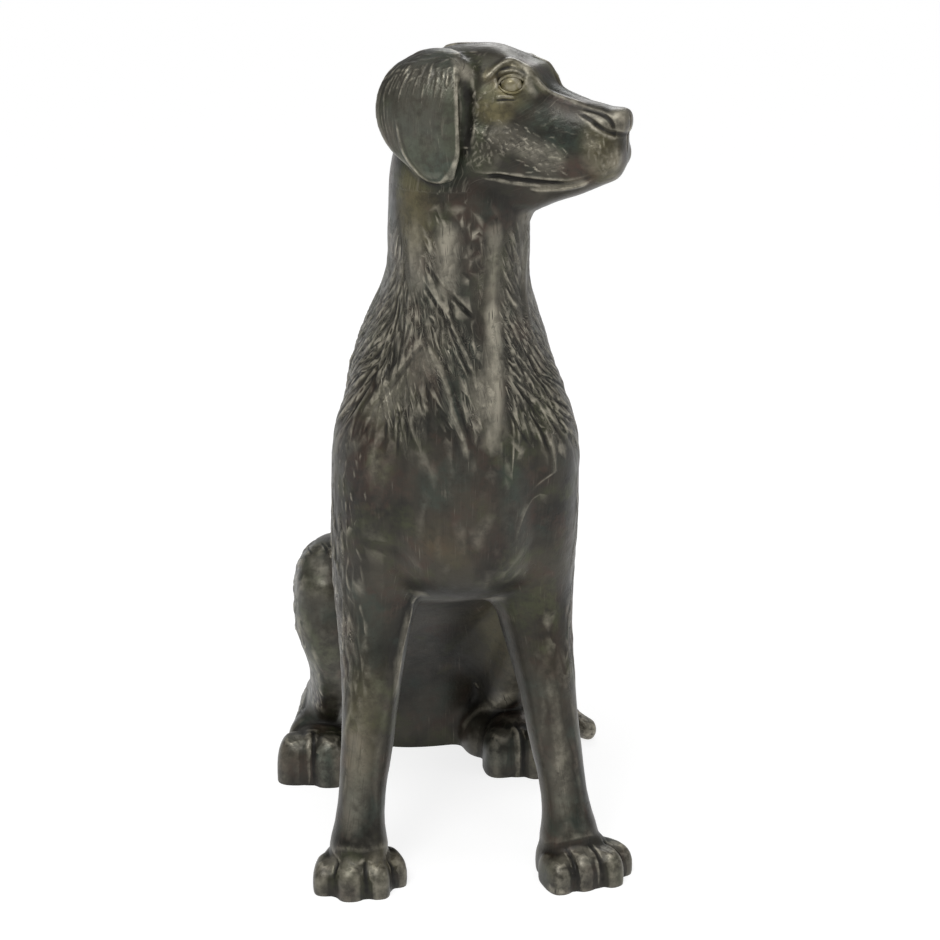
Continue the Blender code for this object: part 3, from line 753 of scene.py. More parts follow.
# Steps of the golden ratio spread the turns evenly. Each lock then strays a little from its turn, from the
# edge of the hair and from the way the hair lies, and its size varies.
GOLDEN = 0.618034
TURN_STRAY, EDGE_STRAY, LEAN_STRAY = 2, 12, 0.2
VARY = (0.7, 1.3)


def swell(point):
    """From 0 to 1: where the hair is modelled more boldly, in drifts about a hand wide."""
    x, y, z = point
    return 0.5 + 0.25 * (math.sin(x / 17 + z / 41) + math.sin(z / 23 - x / 29 + y / 37 + 2))


def tufts(skin, layer, guide, count, shares, turns, size, lean=STRAIGHT, edge=STRAIGHT, reach=200, seed=1):
    """Locks spread evenly over a part of a limb, between two shares of its line and two turns."""
    chance = np.random.default_rng(seed)
    for number in range(count):
        share = shares[0] + (shares[1] - shares[0]) * (number + chance.random()) / count
        turn = turns[0] + (turns[1] - turns[0]) * ((number * GOLDEN) % 1) + chance.normal() * TURN_STRAY
        start = skin.hit(*guide.about(share, turn, reach))
        stray = chance.normal() * EDGE_STRAY
        if start is None or start[2] < np.interp(turn, *edge) + stray:
            continue
        bent = chance.normal() * LEAN_STRAY
        vary = chance.uniform(*VARY, 3)
        vary[2] *= (0.35 + swell(start)) * (np.interp(start[2], *BOLD) if start[1] < 20 else 1)

        def lie(point, slopes=np.array(lean[1]) + bent):
            return guide.flow(point, (lean[0], slopes))

        lock(skin, layer, start, lie, np.array(size) * vary, number + seed * 1000)


def limb_guide(stations):
    """A guide through the stations of a limb."""
    return Guide([station[:3] for station in stations])


skin = Skin(dog)
trunk_guide = Guide(TRUNK_LINE)
tail_guide = Guide([station[:3] for station in TAIL], front=(0, 0, 1))
print("points along the trunk and the tail:", len(trunk_guide.line), len(tail_guide.line))

# %% [markdown]
# ## Combing
#
# The big locks come first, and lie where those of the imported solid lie. Then fine strands are laid over them
# and fine cuts go between them, three or four to a lock, which turns leaves of clay into hair. A sculptor's
# hand is bold in one place and light in the next, so the height of the hair swells and fades.

# %% The big locks
# The turns that the mane, the back and the lower back cover.
MANE, BACK, LOW_BACK = (-95, 88), (85, 268), (72, 288)
tufts(skin, skin.locks, trunk_guide, 300, (0.1, 0.42), MANE, (72, 6.4, 1.5), MANE_LEAN, MANE_EDGE)
tufts(skin, skin.locks, trunk_guide, 280, (0.08, 0.56), BACK, (70, 7.0, 1.7), MANE_LEAN, seed=3)
tufts(skin, skin.locks, trunk_guide, 240, (0.5, 0.98), LOW_BACK, (62, 8, 1.6), MANE_LEAN, reach=240, seed=2)
for side in (-1, 1):
    leg = limb_guide(shift(FORE_LEG, side)[1:8])
    turns = (side * 100 - 45, side * 100 + 60)
    tufts(skin, skin.locks, leg, 70, (0.1, 0.75), turns, (30, 4.0, 0.8), reach=75, seed=4 + side)
tufts(skin, skin.locks, tail_guide, 60, (0.05, 0.85), (-120, 120), (44, 7, 1.8), reach=45, seed=7)
print("share of the skin under locks:", round(float((skin.locks > 0).mean()), 3))

# %% The fine strands and the cuts between them
THIN = 1
# A layer, the length, width and height of its hairs, and the first seed.
FINE_HAIR = ((skin.strands, (68, 1.9, 0.6), 11), (skin.cuts, (62, 1.7, 0.8), 61))
for layer, size, seed in FINE_HAIR:
    tufts(skin, layer, trunk_guide, 1150 // THIN, (0.06, 0.5), MANE, size, MANE_LEAN, MANE_EDGE, seed=seed)
    tufts(skin, layer, trunk_guide, 960 // THIN, (0, 0.6), BACK, size, MANE_LEAN, seed=seed + 1)
    count, seed = 550 // THIN, seed + 2
    tufts(skin, layer, trunk_guide, count, (0.5, 0.98), LOW_BACK, size, MANE_LEAN, reach=240, seed=seed)
for side in (-1, 1):
    leg = limb_guide(shift(FORE_LEG, side)[1:9])
    turns = (side * 100 - 55, side * 100 + 75)
    tufts(skin, skin.strands, leg, 260 // THIN, (0.05, 0.8), turns, (24, 1.8, 0.4), reach=75, seed=15 + side)
    thigh = limb_guide([*shift(THIGH, side)[2:], *shift(SHIN, side)[1:4]])
    turns = (side * 90 - 60, side * 90 + 60)
    count, seed = 150 // THIN, 22 + side
    tufts(skin, skin.strands, thigh, count, (0.1, 0.95), turns, (22, 1.8, 0.4), reach=75, seed=seed)
count, turns = 160 // THIN, (-130, 130)
tufts(skin, skin.strands, tail_guide, count, (0.05, 0.95), turns, (28, 2.2, 0.6), reach=45, seed=18)
count, turns = 130 // THIN, (-102, -38)
tufts(skin, skin.strands, trunk_guide, count, (0.3, 0.52), turns, (13, 2.2, 0.9), MANE_LEAN, seed=19)
print("share of the skin under strands:", round(float((skin.strands > 0).mean()), 3))

# %% [markdown]
# ## The face
#
# The face is carved with single strokes of known width. Each is given for one side, as out from the middle,
# back and up, and is mirrored. The brow is a ridge like the edge of a roof, the lids are thin ropes round the
# ball of the eye, wrinkles hang under it, and the lips meet in a long groove that rises at the corner.

# %% Strokes on the head


def turned(points, side=1):
    """Points of the left or the right, -1, of the head as it faces -Y, where they lie once it is turned."""
    angle = math.radians(HEAD_TURN)
    cos, sin = math.cos(angle), math.sin(angle)
    points = [(side * x, y, z) for x, y, z in points]
    return [(NECK_AXIS[0] + x * cos - y * sin, NECK_AXIS[1] + x * sin + y * cos, z) for x, y, z in points]


BROW = ((41, -38, 732), (36, -45, 741), (27, -53, 748), (21, -61, 749), (23, -70, 744), (25, -77, 737))
MOUTH = ((47, -44, 655), (42, -54, 654), (35, -70, 651), (28, -85, 649), (25, -96, 648), (23, -106, 648))
LIPS = ((51, -35, 656), (42, -54, 654), (35, -70, 651), (24, -102, 648), (21, -119, 651), (21, -130, 655))
NOSE = ((16, -115, 712), (16, -125, 710), (16, -134, 708), (17, -141, 704), (17, -145, 699), (17, -146, 694))
EAR_RIM = ((50, -18, 750), (60, -21, 742), (66, -24, 722), (69, -26, 700), (69, -26, 676), (69, -20, 660))
BROW_FOLD = ((41, -42, 735), (36, -46, 741), (28, -51, 747), (24, -60, 750), (27, -68, 748), (29, -75, 741))
# The strokes of the left side: width, height and route.
HEAD_STROKES = (
    (5.5, 1.4, BROW),
    (6.0, 1.6, ((25, -77, 737), (22, -84, 730), (18, -93, 724), (15, -106, 720), (13, -122, 716))),
    (9.0, -3.2, ((40, -50, 733), (37, -57, 735), (34, -64, 734), (31, -71, 730))),
    (3.6, -2.1, MOUTH),
    (3.4, -0.7, LIPS),
    (3.2, 1.2, ((31, -76, 643), (27, -88, 641), (23, -102, 642), (20, -116, 645), (19, -126, 649))),
    (2.8, -0.8, NOSE),
    (3.0, 0.25, ((17, -119, 709), (18, -127, 707), (18, -134, 703), (18, -140, 699))),
    (2.6, -0.7, ((18, -116, 707), (20, -125, 703), (20, -132, 699), (20, -139, 695))),
    (3.8, -1.15, ((20, -128, 701), (20, -134, 697), (20, -140, 694), (18, -146, 692), (16, -149, 691))),
    (3.2, -0.6, ((18, -146, 692), (13, -150, 691), (6, -153, 690), (0, -154, 690))),
    (3.0, 0.6, EAR_RIM),
    (3.2, 1.0, ((69, -20, 660), (66, -10, 651), (65, 2, 650), (65, 16, 664), (64, 24, 684), (62, 26, 706))),
    (7.0, -2.4, ((52, -26, 742), (51, -28, 722), (51, -28, 700), (51, -28, 678))),
    (2.8, 0.5, BROW_FOLD),
    (2.6, 0.4, ((29, -75, 741), (24, -79, 734), (19, -86, 727), (16, -96, 722), (14, -112, 718))),
    (2.6, -0.7, ((40, -46, 736), (33, -51, 743), (30, -60, 745), (31, -69, 742), (30, -76, 735))),
    (2.0, 0.7, ((43, -50, 728), (41, -54, 735), (36, -60, 739), (33, -68, 737), (30, -75, 730))),
    (2.0, 0.6, ((42, -51, 720), (39, -57, 721), (35, -65, 720))),
    (1.9, -0.6, ((42, -50, 717.5), (39, -57, 718), (34, -66, 718))),
    (1.9, -0.2, ((42, -52, 712), (39, -57, 712), (36, -63, 713))),
    (1.6, -0.8, ((0, -156, 708), (0, -157, 700), (0, -156, 690), (0, -154, 674))),
)
for side in (-1, 1):
    for width, height, route in HEAD_STROKES:
        stroke(skin, turned(route, side), width, height)
print("highest and deepest carving on the skin:", round(skin.raised.max(), 2), round(skin.raised.min(), 2))

# %% [markdown]
# ## The ears and the short hair of the head
#
# The ear is covered with straight strands that follow its outline from the root to the tip. A few short
# locks, called pecks here, roughen the side and the top of the head. Scratches of the tool cover the cheek,
# the throat and parts of the breast and legs, and catch the light as rough pale patches.

# %% Strands on the ears


def ear_route(side, share, start, end):
    """A line down the ear at this share of its half width, between two shares of its length."""
    rows = between(EAR, 4)
    route = []
    for place in np.linspace(start, end, 6):
        z, out, forward, half, thick = rows[int(place * (len(rows) - 1))]
        route.append((out + thick + 5 * share, -(forward + share * half * 0.93), z))
    return turned(route, side)


EAR_STRANDS = 110 // THIN
chance = np.random.default_rng(21)
for side in (-1, 1):
    for number in range(EAR_STRANDS):
        # Two strands of three are short and bold, near the root. The third is longer, lower down and faint.
        starts, lengths, heights = ((0.12, 0.34), (0.08, 0.2), (0.45, 0.3, -0.3))
        if number % 3 == 0:
            starts, lengths, heights = ((0.3, 0.75), (0.15, 0.3), (0.12, -0.16))
        share = chance.uniform(-0.95, 0.9)
        start = chance.uniform(*starts)
        end = min(0.97, start + chance.uniform(*lengths))
        height = chance.choice(heights)
        stroke(skin, ear_route(side, share, start, end), chance.uniform(1.5, 1.9), height, taper=3)
    for number, share in enumerate((-0.93, -0.84, -0.74)):
        stroke(skin, ear_route(side, share, 0.2 + 0.1 * number, 0.9), 1.8, -0.25, taper=3)
print("strands on each ear:", EAR_STRANDS + 3)

# %% Pecks of short hair


def pecks(skin, count, ys, zs, way, size, seed, stray=0.25):
    """Short locks on each side of the head, over a range of y and a range of heights."""
    chance = np.random.default_rng(seed)
    for side in (-1, 1):
        for number in range(count):
            y = chance.uniform(*ys)
            z = chance.uniform(*zs)
            start = skin.hit(*turned([(90, y, z), (0, y, z)], side))
            if start is None:
                continue
            lean = np.array(way) + chance.normal(size=3) * stray
            ahead, origin = np.array(turned([lean, (0, 0, 0)], side))
            flow = ahead - origin
            vary = chance.uniform(*VARY, 3)
            lock(skin, skin.strands, start, lambda point: flow, np.array(size) * vary, 0, pieces=4)


pecks(skin, 70 // THIN, (-50, -30), (664, 725), (0, 0.4, -1), (7, 1.3, 0.25), 32, stray=0.5)
pecks(skin, 60 // THIN, (-30, 44), (738, 764), (0.2, 1, -0.2), (16, 1.8, 0.3), 34)
print("share of the skin under strands and pecks:", round(float((skin.strands > 0).mean()), 3))

# %% Scratches of the tool
# Half the length of a scratch, and how far its way strays, on the head and off it.
SCRATCH = {True: ((2.2, 6.4), 0.2), False: ((2.5, 7.5), 0.35)}


def scratches(skin, count, line, spread, way, height, seed, on_head):
    """Short crooked marks scattered round a line, which mostly lie one way."""
    chance = np.random.default_rng(seed)
    start, end = np.array(line, float)
    half_length, stray = SCRATCH[on_head]
    for _ in range(count):
        spot = start + chance.random() * (end - start) + chance.normal(size=3) * spread
        lean = np.array(way) + chance.normal(size=3) * stray
        lean = lean / np.linalg.norm(lean) * chance.uniform(*half_length)
        route = [spot - lean, spot + chance.normal(size=3) * 1.2, spot + lean]
        width, rise = chance.uniform(1.2, 1.7), height * chance.choice((1.0, 0.6, -0.7))
        for line in [turned(route, side) for side in (-1, 1)] if on_head else [route]:
            stroke(skin, line, width, rise, taper=3)


# Each a count, a line, the spread round it, the way the marks lie, their height, a seed, and whether they are
# on the head: cheek, muzzle, lips, skull, throat, front of the neck, breast, fore legs and right thigh.
SCRATCHED = (
    (440, ((47, -56, 690), (28, -100, 668)), 6, (-0.2, 1, 0.4), 0.34, 41, True),
    (60, ((34, -66, 700), (20, -138, 684)), 11, (0, 1, 0.1), 0.13, 42, True),
    (30, ((24, -130, 690), (18, -142, 660)), 6, (0, 0.3, 1), 0.15, 43, True),
    (40, ((34, -30, 752), (48, -24, 730)), 7, (0.3, 0.4, -1), 0.25, 44, True),
    (110, ((-18, -54, 620), (26, -54, 600)), 9, (0.3, 0, -1), 0.24, 45, False),
    (50, ((8, -57, 600), (8, -60, 500)), 6, (0.1, 0, -1), 0.25, 50, False),
    (50, ((-50, -56, 400), (40, -60, 340)), 26, (0.1, 0, -1), 0.14, 46, False),
    (40, ((-92, -28, 250), (-97, -44, 90)), 8, (0.1, 0, -1), 0.2, 47, False),
    (40, ((82, -28, 250), (92, -54, 80)), 8, (0.1, 0, -1), 0.16, 48, False),
    (50, ((-130, 172, 235), (-134, 190, 120)), 11, (0, 0.3, -1), 0.24, 49, False),
)
for number, *kind in SCRATCHED:
    scratches(skin, number // THIN, *kind)
print("scratches:", sum(number for number, *_ in SCRATCHED) // THIN)

# %% [markdown]
# ## The mane, the breast and the legs
#
# A few long key locks give the mane its parting, as a sculptor would place them first. Down the front of the
# neck the hair lies flat in smooth bands. The fronts of the legs are bare, and soft ridges and grooves show
# their tendons.

# %% Strokes on the body
KEY_LOCK = ((-40, -39, 577), (-20, -51, 548), (-8, -56, 518), (4, -61, 488), (12, -66, 463), (7, -72, 429))
# Locks of the mane, then the fold inside the hind leg, folds of the armpit and marks on the leg, as width,
# height and route. The tendons and the smooth bands of the neck are given the same way.
BODY_STROKES = (
    (6.0, 2.0, KEY_LOCK),
    (3.4, -2.2, ((-32, -46, 581), (-20, -51, 561), (-8, -54, 549), (9, -56, 531))),
    (3.2, -2.0, ((-36, -44, 566), (-16, -52, 534), (-5, -57, 506), (7, -62, 478))),
    (6.0, 1.6, ((-44, -48, 522), (-21, -58, 489), (-14, -65, 463), (-6, -71, 438), (1, -73, 411))),
    (7.0, 1.6, ((-29, -50, 522), (-41, -46, 504), (-58, -38, 481), (-76, -38, 459), (-89, -33, 445))),
    (3.2, -2.0, ((-31, -50, 512), (-46, -44, 492), (-62, -40, 470), (-78, -38, 448))),
    (2.6, 1.2, ((43, 250, 28), (51, 250, 39), (60, 251, 45), (71, 231, 57), (77, 212, 70), (83, 201, 80))),
    (6.0, 1.5, ((31, -57, 495), (44, -57, 468), (58, -56, 440), (70, -54, 419))),
    (3.0, -1.4, ((43, -56, 478), (56, -55, 452), (68, -54, 430), (76, -53, 408))),
    (3.0, -1.6, ((51, -44, 509), (65, -38, 481), (78, -40, 454), (88, -44, 427))),
    (2.4, 0.4, ((58, -57, 374), (68, -54, 383), (77, -53, 389), (84, -51, 393))),
    (2.4, 0.3, ((50, -59, 350), (62, -56, 368), (74, -53, 372))),
    (4.5, 1.6, ((-36, -26, 277), (-42, -6, 254), (-46, -6, 239), (-53, -14, 212), (-58, -22, 186))),
    (8.0, -0.8, ((-88, -30, 332), (-66, -38, 324), (-46, -37, 314), (-30, -38, 304))),
    (8.0, -0.8, ((70, -38, 330), (54, -40, 318), (40, -38, 309), (30, -39, 300))),
)
TENDONS = (
    (8.0, -0.8, ((-92, -26, 190), (-99, -36, 146), (-103, -43, 110), (-106, -52, 56))),
    (6.0, 0.6, ((-90, -30, 176), (-95, -38, 136), (-97, -44, 104), (-101, -54, 50))),
    (8.0, -0.7, ((-76, -22, 180), (-83, -34, 136), (-87, -42, 104), (-88, -52, 56))),
    (8.0, -0.7, ((76, -22, 184), (81, -39, 121), (84, -45, 84), (86, -54, 48))),
    (6.0, 0.6, ((84, -26, 176), (90, -42, 121), (92, -50, 84), (96, -60, 46))),
    (8.0, -0.7, ((90, -22, 176), (98, -38, 121), (101, -44, 84), (106, -56, 48))),
)
BANDS = (
    (9, 1.8, ((-16, -56, 622), (-17, -56, 600), (-16, -56, 580), (-15, -55, 552))),
    (9, 1.6, ((28, -54, 618), (28, -56, 604), (26, -56, 560), (24, -58, 522), (27, -61, 496))),
    (10, 1.8, ((24, -58, 530), (27, -61, 496), (30, -67, 462), (30, -71, 438), (30, -73, 400))),
    (8, 2.0, ((58, -22, 612), (58, -26, 580), (62, -32, 545), (70, -36, 510))),
    (8, 2.0, ((-44, -40, 612), (-45, -42, 580), (-47, -42, 550))),
)
for place in PAWS:
    for route in clefts(*place):
        stroke(skin, route[:3], 3.4, -1.5, taper=3)
        stroke(skin, route[1:], 3.4, -0.7, taper=4)
    stroke(skin, crease(*place), 7.0, -1.1, taper=3)
    for route in knuckles(*place):
        stroke(skin, route, 3.6, 0.7, taper=3)
calm(skin, [(6, -56, 622), (6, -57, 590), (7, -58, 550), (8, -61, 498)], 19)
for x in (-112, 112):
    calm(skin, [(x, 176, 262), (x, 158, 236), (x, 150, 208), (x, 160, 170)], 46)
for width, height, route in BODY_STROKES:
    stroke(skin, route, width, height)
for width, height, route in TENDONS:
    stroke(skin, route, width, height, taper=2.2)
for width, height, route in BANDS:
    calm(skin, route, width * 1.4)
    stroke(skin, route, width, height, taper=3)
print("strokes on the body:", len(BODY_STROKES) + len(TENDONS) + len(BANDS))

# %% Set the carving into the skin


def settle(skin):
    """Moves every point out by as much as it is raised."""
    moved = skin.points + skin.outward * (skin.raised + skin.locks + skin.strands - skin.cuts)[:, None]
    skin.obj.data.vertices.foreach_set("co", (moved * UNIT).ravel())
    skin.obj.data.update()
    return moved


carved = settle(skin)
print("carved points:", len(carved))

# %% [markdown]
# ## Hollows and edges
#
# Patina gathers in hollows, and hands and weather polish the edges. The colour also darkens the hollows as
# painted shade and lightens the edges as painted highlight. To know which is which, the skin is blurred: a
# point that stands out from its blurred place is on an edge, and one that lies under it is in a hollow. Two
# blurs are kept, a fine one for hair and a broad one for toes and lips.

# %% Measure hollows and edges
# The rounds of either blur, and how much of its own place a point keeps in a round.
FINE_BLUR, BROAD_BLUR = 5, 40
KEPT = 0.4


def relief(obj, points, rounds):
    """How far each point stands out from the skin once that is blurred so many times."""
    pairs = np.empty(len(obj.data.edges) * 2, np.int32)
    obj.data.edges.foreach_get("vertices", pairs)
    first, second = pairs.reshape(-1, 2).T
    shares = np.bincount(first, minlength=len(points)) + np.bincount(second, minlength=len(points))
    outward = read(obj.data.vertex_normals, "vector")
    blurred = points.copy()
    for _ in range(rounds):
        for axis in range(3):
            values = blurred[:, axis]
            total = np.bincount(first, values[second], len(values))
            total = total + np.bincount(second, values[first], len(values))
            blurred[:, axis] = KEPT * values + (1 - KEPT) * total / np.maximum(shares, 1)
    return np.einsum("ij,ij->i", points - blurred, outward)


fine_relief = relief(dog, carved, FINE_BLUR)
broad_relief = relief(dog, carved, BROAD_BLUR)
print("usual fine and broad relief:", round(float(fine_relief.std()), 3), round(float(broad_relief.std()), 3))

# %% [markdown]
# ## A lighter mesh
#
# The carved skin has far more points than it needs on the smooth legs. The Decimate modifier merges points
# where the surface is flattest and so keeps the hair. A vertex group asks it to spare the head. The piece
# stays under 200,000 triangles.

# %% Thin the skin and cut it at the ground
# How freely points may merge on the body, the paws and the head: a weight between two heights.
MERGED = ((1.0, 50, 632), (0.97, -99, 50), (0.8, 632, 999))


def thin(obj, facets):
    """Merges points where the skin is flattest, until so many triangles are left."""
    group = obj.vertex_groups.new(name="plain")
    heights = read(obj.data.vertices, "co")[:, 2] / UNIT
    for weight, low, high in MERGED:
        chosen = np.flatnonzero((heights > low) & (heights <= high))
        group.add(chosen.tolist(), weight, "REPLACE")
    reduce = obj.modifiers.new("facets", "DECIMATE")
    reduce.ratio = min(1.0, facets / (2 * len(obj.data.polygons)))
    reduce.use_collapse_triangulate = True
    reduce.vertex_group = group.name
    reduce.vertex_group_factor = 0.02
    settled(obj)
    obj.vertex_groups.clear()


def stand_flat(obj):
    """Cuts the figure off flat at the ground."""
    form = bmesh.new()
    form.from_mesh(obj.data)
    everything = form.verts[:] + form.edges[:] + form.faces[:]
    up = (0, 0, 1)
    ground = bmesh.ops.bisect_plane(form, geom=everything, plane_co=(0, 0, 0), plane_no=up, clear_inner=True)
    edges = [item for item in ground["geom_cut"] if isinstance(item, bmesh.types.BMEdge)]
    soles = bmesh.ops.holes_fill(form, edges=edges)["faces"]
    bmesh.ops.triangulate(form, faces=soles)
    obj.data = mesh_of(form, obj.name)


thin(dog, FACETS)
stand_flat(dog)
print("triangles:", len(dog.data.polygons))

# %% [markdown]
# ## The eyes
#
# An eye has to be rounder and crisper than clay strokes can be, so each is a ball with two ropes for its
# lids, set into the carved socket and joined to the same piece.

# %% Eyes and lids
EYE_PLACE, EYE_TURN = (31.6, -60.4, 730.5), -24
EYEBALL = (8.8, 9.2, 8.0)
# The upper and the lower lid: radius, tilt, sweep and thickness. Both are longer than high by this factor.
LIDS = ((8.9, 57, (-86, 86), 1.5), (8.7, -50, (-80, 80), 1.2))
ALMOND = 1.2


def lid(radius, tilt, sweep, thick):
    """A thin rope round the front of the eyeball, at this tilt, between two angles, pointed at both ends."""
    stations = []
    for angle in np.radians(np.linspace(*sweep, 9)):
        out = math.cos(math.radians(tilt)) * math.cos(angle)
        along = ALMOND * math.sin(angle)
        up = math.sin(math.radians(tilt)) * math.cos(angle)
        size = thick * (0.5 + 0.5 * math.cos(angle))
        stations.append((radius * out, radius * along, radius * up, size, size))
    return limb(stations, across=(0, 0, 1), dome=(0.8, 0.8))


def eye():
    """The left eye with its lids, as the head faces -Y."""
    parts = [ball((0, 0, 0), EYEBALL)]
    for shape in LIDS:
        parts.append(lid(*shape))
    for part in parts:
        part.data.transform(set_at(grid(EYE_PLACE), EYE_TURN))
    return parts


form = bmesh.new()
form.from_mesh(dog.data)
for side in (-1, 1):
    for part in eye():
        part.data.transform(HEAD_PLACE @ Matrix.Scale(side, 4, (1, 0, 0)))
        shell = bmesh.new()
        shell.from_mesh(part.data)
        bmesh.ops.recalc_face_normals(shell, faces=shell.faces)
        bmesh.ops.triangulate(shell, faces=shell.faces)
        shell.to_mesh(part.data)
        shell.free()
        form.from_mesh(part.data)
        bpy.data.objects.remove(part, do_unlink=True)
form.to_mesh(dog.data)
form.free()
dog.data.shade_smooth()
print("triangles with the eyes:", len(dog.data.polygons))

# %% [markdown]
# ## Notes for the patina
#
# The thinned mesh gets back what the carved skin knew: its hollows and edges, and the direction of the hair.
# Each point asks a KD tree for the nearest carved point. Then soft patches say where the metal went ochre,
# green or red, or is worn where it stands out, as on the real one. Other patches paint light and shade:
# pale patches are partly chipped or rubbed metal and partly painted highlights, and dark patches are
# painted shade. All of it is stored as attributes of the mesh, which the material can read and which stay
# in place in every view.

# %% Carry the measurements over
# The relief that counts as fully raised, and less than nothing as fully hollow.
FINE_FULL, BROAD_FULL = 0.35, 1.6
# The height of a lock from which a point counts as combed.
COMBED = 0.05
places = read(dog.data.vertices, "co") / UNIT
count = len(places)
tree = KDTree(len(carved))
for number, point in enumerate(carved):
    tree.insert(point, number)
tree.balance()
sources = np.array([tree.find(point)[1] for point in places])


def note(obj, name, values):
    """Keeps a number, or a vector of three, for every point of the mesh."""
    kind = "FLOAT_VECTOR" if values.ndim == 2 else "FLOAT"
    field = "vector" if values.ndim == 2 else "value"
    attribute = obj.data.attributes.new(name, kind, "POINT")
    attribute.data.foreach_set(field, np.ascontiguousarray(values, dtype=np.float32).ravel())


note(dog, "fine relief", np.clip(fine_relief[sources] / FINE_FULL, -1, 1))
note(dog, "broad relief", np.clip(broad_relief[sources] / BROAD_FULL, -1, 1))
combed = skin.locks[sources] > COMBED
print("points that carry hair:", int(combed.sum()), "of", count)

# %% Patches of colour
# Each patch lies along a line on the head, as it faces -Y, or on the body. It has a reach and a strength.
OCHRE = (
    ("head", ((41, -50, 722), (36, -66, 724)), 10, 0.6),
    ("head", ((39, -62, 731),), 10, 1.6),
    ("head", ((47, -46, 711), (42, -54, 709)), 8, 0.9),
    ("head", ((40, -44, 738), (26, -66, 749), (20, -84, 730)), 6, 0.45),
    ("head", ((22, -134, 684), (18, -142, 662)), 12, 0.35),
    ("head", ((30, -88, 643), (22, -118, 647)), 5, 0.2),
    ("body", ((-46, -38, 646), (-44, -42, 606)), 14, 0.5),
    ("body", ((-70, -24, 560), (-86, -20, 500)), 20, 0.2),
    ("body", ((-34, -60, 336), (-8, -60, 322)), 9, 0.2),
    ("body", ((-50, -30, 634), (-42, -40, 606)), 10, 0.4),
    ("body", ((-92, -30, 190), (-96, -40, 120)), 12, 0.25),
    ("body", ((-80, -60, 30), (-66, -50, 30)), 9, 0.35),
    ("body", ((60, 190, 190), (70, 200, 120)), 24, 0.35),
)
GREEN = (
    ("head", ((64, 4, 748), (68, 8, 730)), 22, 0.5),
    ("head", ((66, 4, 706), (66, 4, 680)), 28, 0.5),
    ("head", ((66, -12, 664),), 15, 0.8),
    ("head", ((30, -90, 700), (26, -108, 688)), 14, 0.5),
    ("head", ((46, -46, 726), (45, -50, 718)), 6, 0.9),
    ("head", ((34, -72, 722), (33, -74, 712)), 6, 0.6),
    ("body", ((2, -62, 560), (4, -66, 500)), 9, 0.5),
    ("body", ((-4, -62, 500), (-10, -66, 450)), 10, 0.4),
    ("body", ((38, -72, 400), (46, -50, 330)), 10, 0.4),
    ("body", ((-86, -24, 250), (-90, -30, 200)), 14, 0.3),
    ("body", ((-104, -98, 8), (-90, -98, 16)), 8, 0.5),
    ("body", ((-112, 176, 40), (-108, 178, 10)), 7, 0.8),
    ("body", ((-124, 180, 230), (-124, 180, 130)), 24, 0.25),
)
RED = (
    ("head", ((66, 14, 736), (68, 0, 730), (69, 6, 714)), 14, 0.6),
    ("head", ((28, -112, 664), (24, -124, 656)), 9, 0.8),
    ("head", ((36, -84, 706), (24, -110, 704)), 10, 0.3),
    ("body", ((-92, -34, 450), (-84, -46, 400)), 22, 0.6),
    ("body", ((-52, -50, 520), (-30, -58, 470)), 10, 0.5),
    ("body", ((8, -58, 600), (10, -58, 520)), 8, 0.5),
    ("body", ((-6, -78, 420), (20, -78, 380)), 14, 0.35),
    ("body", ((-20, -74, 340), (30, -72, 330)), 18, 0.3),
    ("body", ((84, -30, 260), (90, -40, 180)), 14, 0.4),
    ("body", ((-140, 190, 20), (-126, 180, 20)), 10, 0.5),
)
# Pale patches: chips, the eye and rubbed metal, and painted highlights on the smooth bands of the neck, on the
# tendons and inner rims of the fore legs, the top of the left fore leg, the right knee and along the upper
# edge of the left hind foot.
PALE_AND_HIGHLIGHT = (
    ("head", ((46, -57, 690), (37, -76, 680), (30, -96, 668)), 8, 0.46),
    ("head", ((24, -128, 684),), 5, 0.25),
    ("head", ((52, -23, 752), (54, -30, 740)), 6, 0.9),
    ("head", ((40, -61, 733),), 4, 0.2),
    ("head", ((28, -86, 642), (23, -102, 643), (20, -120, 648)), 3.5, 0.5),
    ("head", ((66, 10, 730), (68, 4, 690)), 26, 0.14),
    ("body", ((26, -56, 536), (26, -60, 496), (24, -67, 458)), 6, 1.0),
    ("body", ((24, -67, 458), (23, -73, 424)), 5, 0.75),
    ("body", ((12, -64, 478), (16, -68, 452)), 7, 0.6),
    ("body", ((26, -54, 606), (26, -56, 560), (25, -58, 530)), 6, 0.45),
    ("body", ((-15, -56, 606), (-15, -56, 560)), 7, 0.8),
    ("body", ((-42, -42, 606), (-40, -42, 560)), 6, 0.5),
    ("body", ((56, -34, 613), (58, -24, 560)), 8, 0.4),
    ("body", ((-34, -53, 496), (-56, -44, 470), (-75, -42, 451)), 9, 0.4),
    ("body", ((-97, -36, 141), (-97, -44, 100), (-104, -50, 66)), 8, 0.35),
    ("body", ((90, -44, 113), (92, -54, 70)), 7, 0.3),
    ("body", ((-37, -26, 275), (-46, -8, 239), (-58, -22, 186)), 3.5, 0.6),
    ("body", ((35, -2, 259),), 4, 0.8),
    ("body", ((-122, 170, 250), (-114, 160, 240)), 7, 0.4),
    ("body", ((43, 250, 28), (60, 251, 45), (71, 231, 57)), 3.5, 0.6),
    ("body", ((74, 222, 64), (83, 201, 80)), 7, 1.0),
    ("body", ((72, 176, 42),), 5, 0.9),
    ("body", ((76, -86, 4), (84, -92, 4)), 3, 0.9),
    ("body", ((188, 250, 16),), 3, 0.9),
)
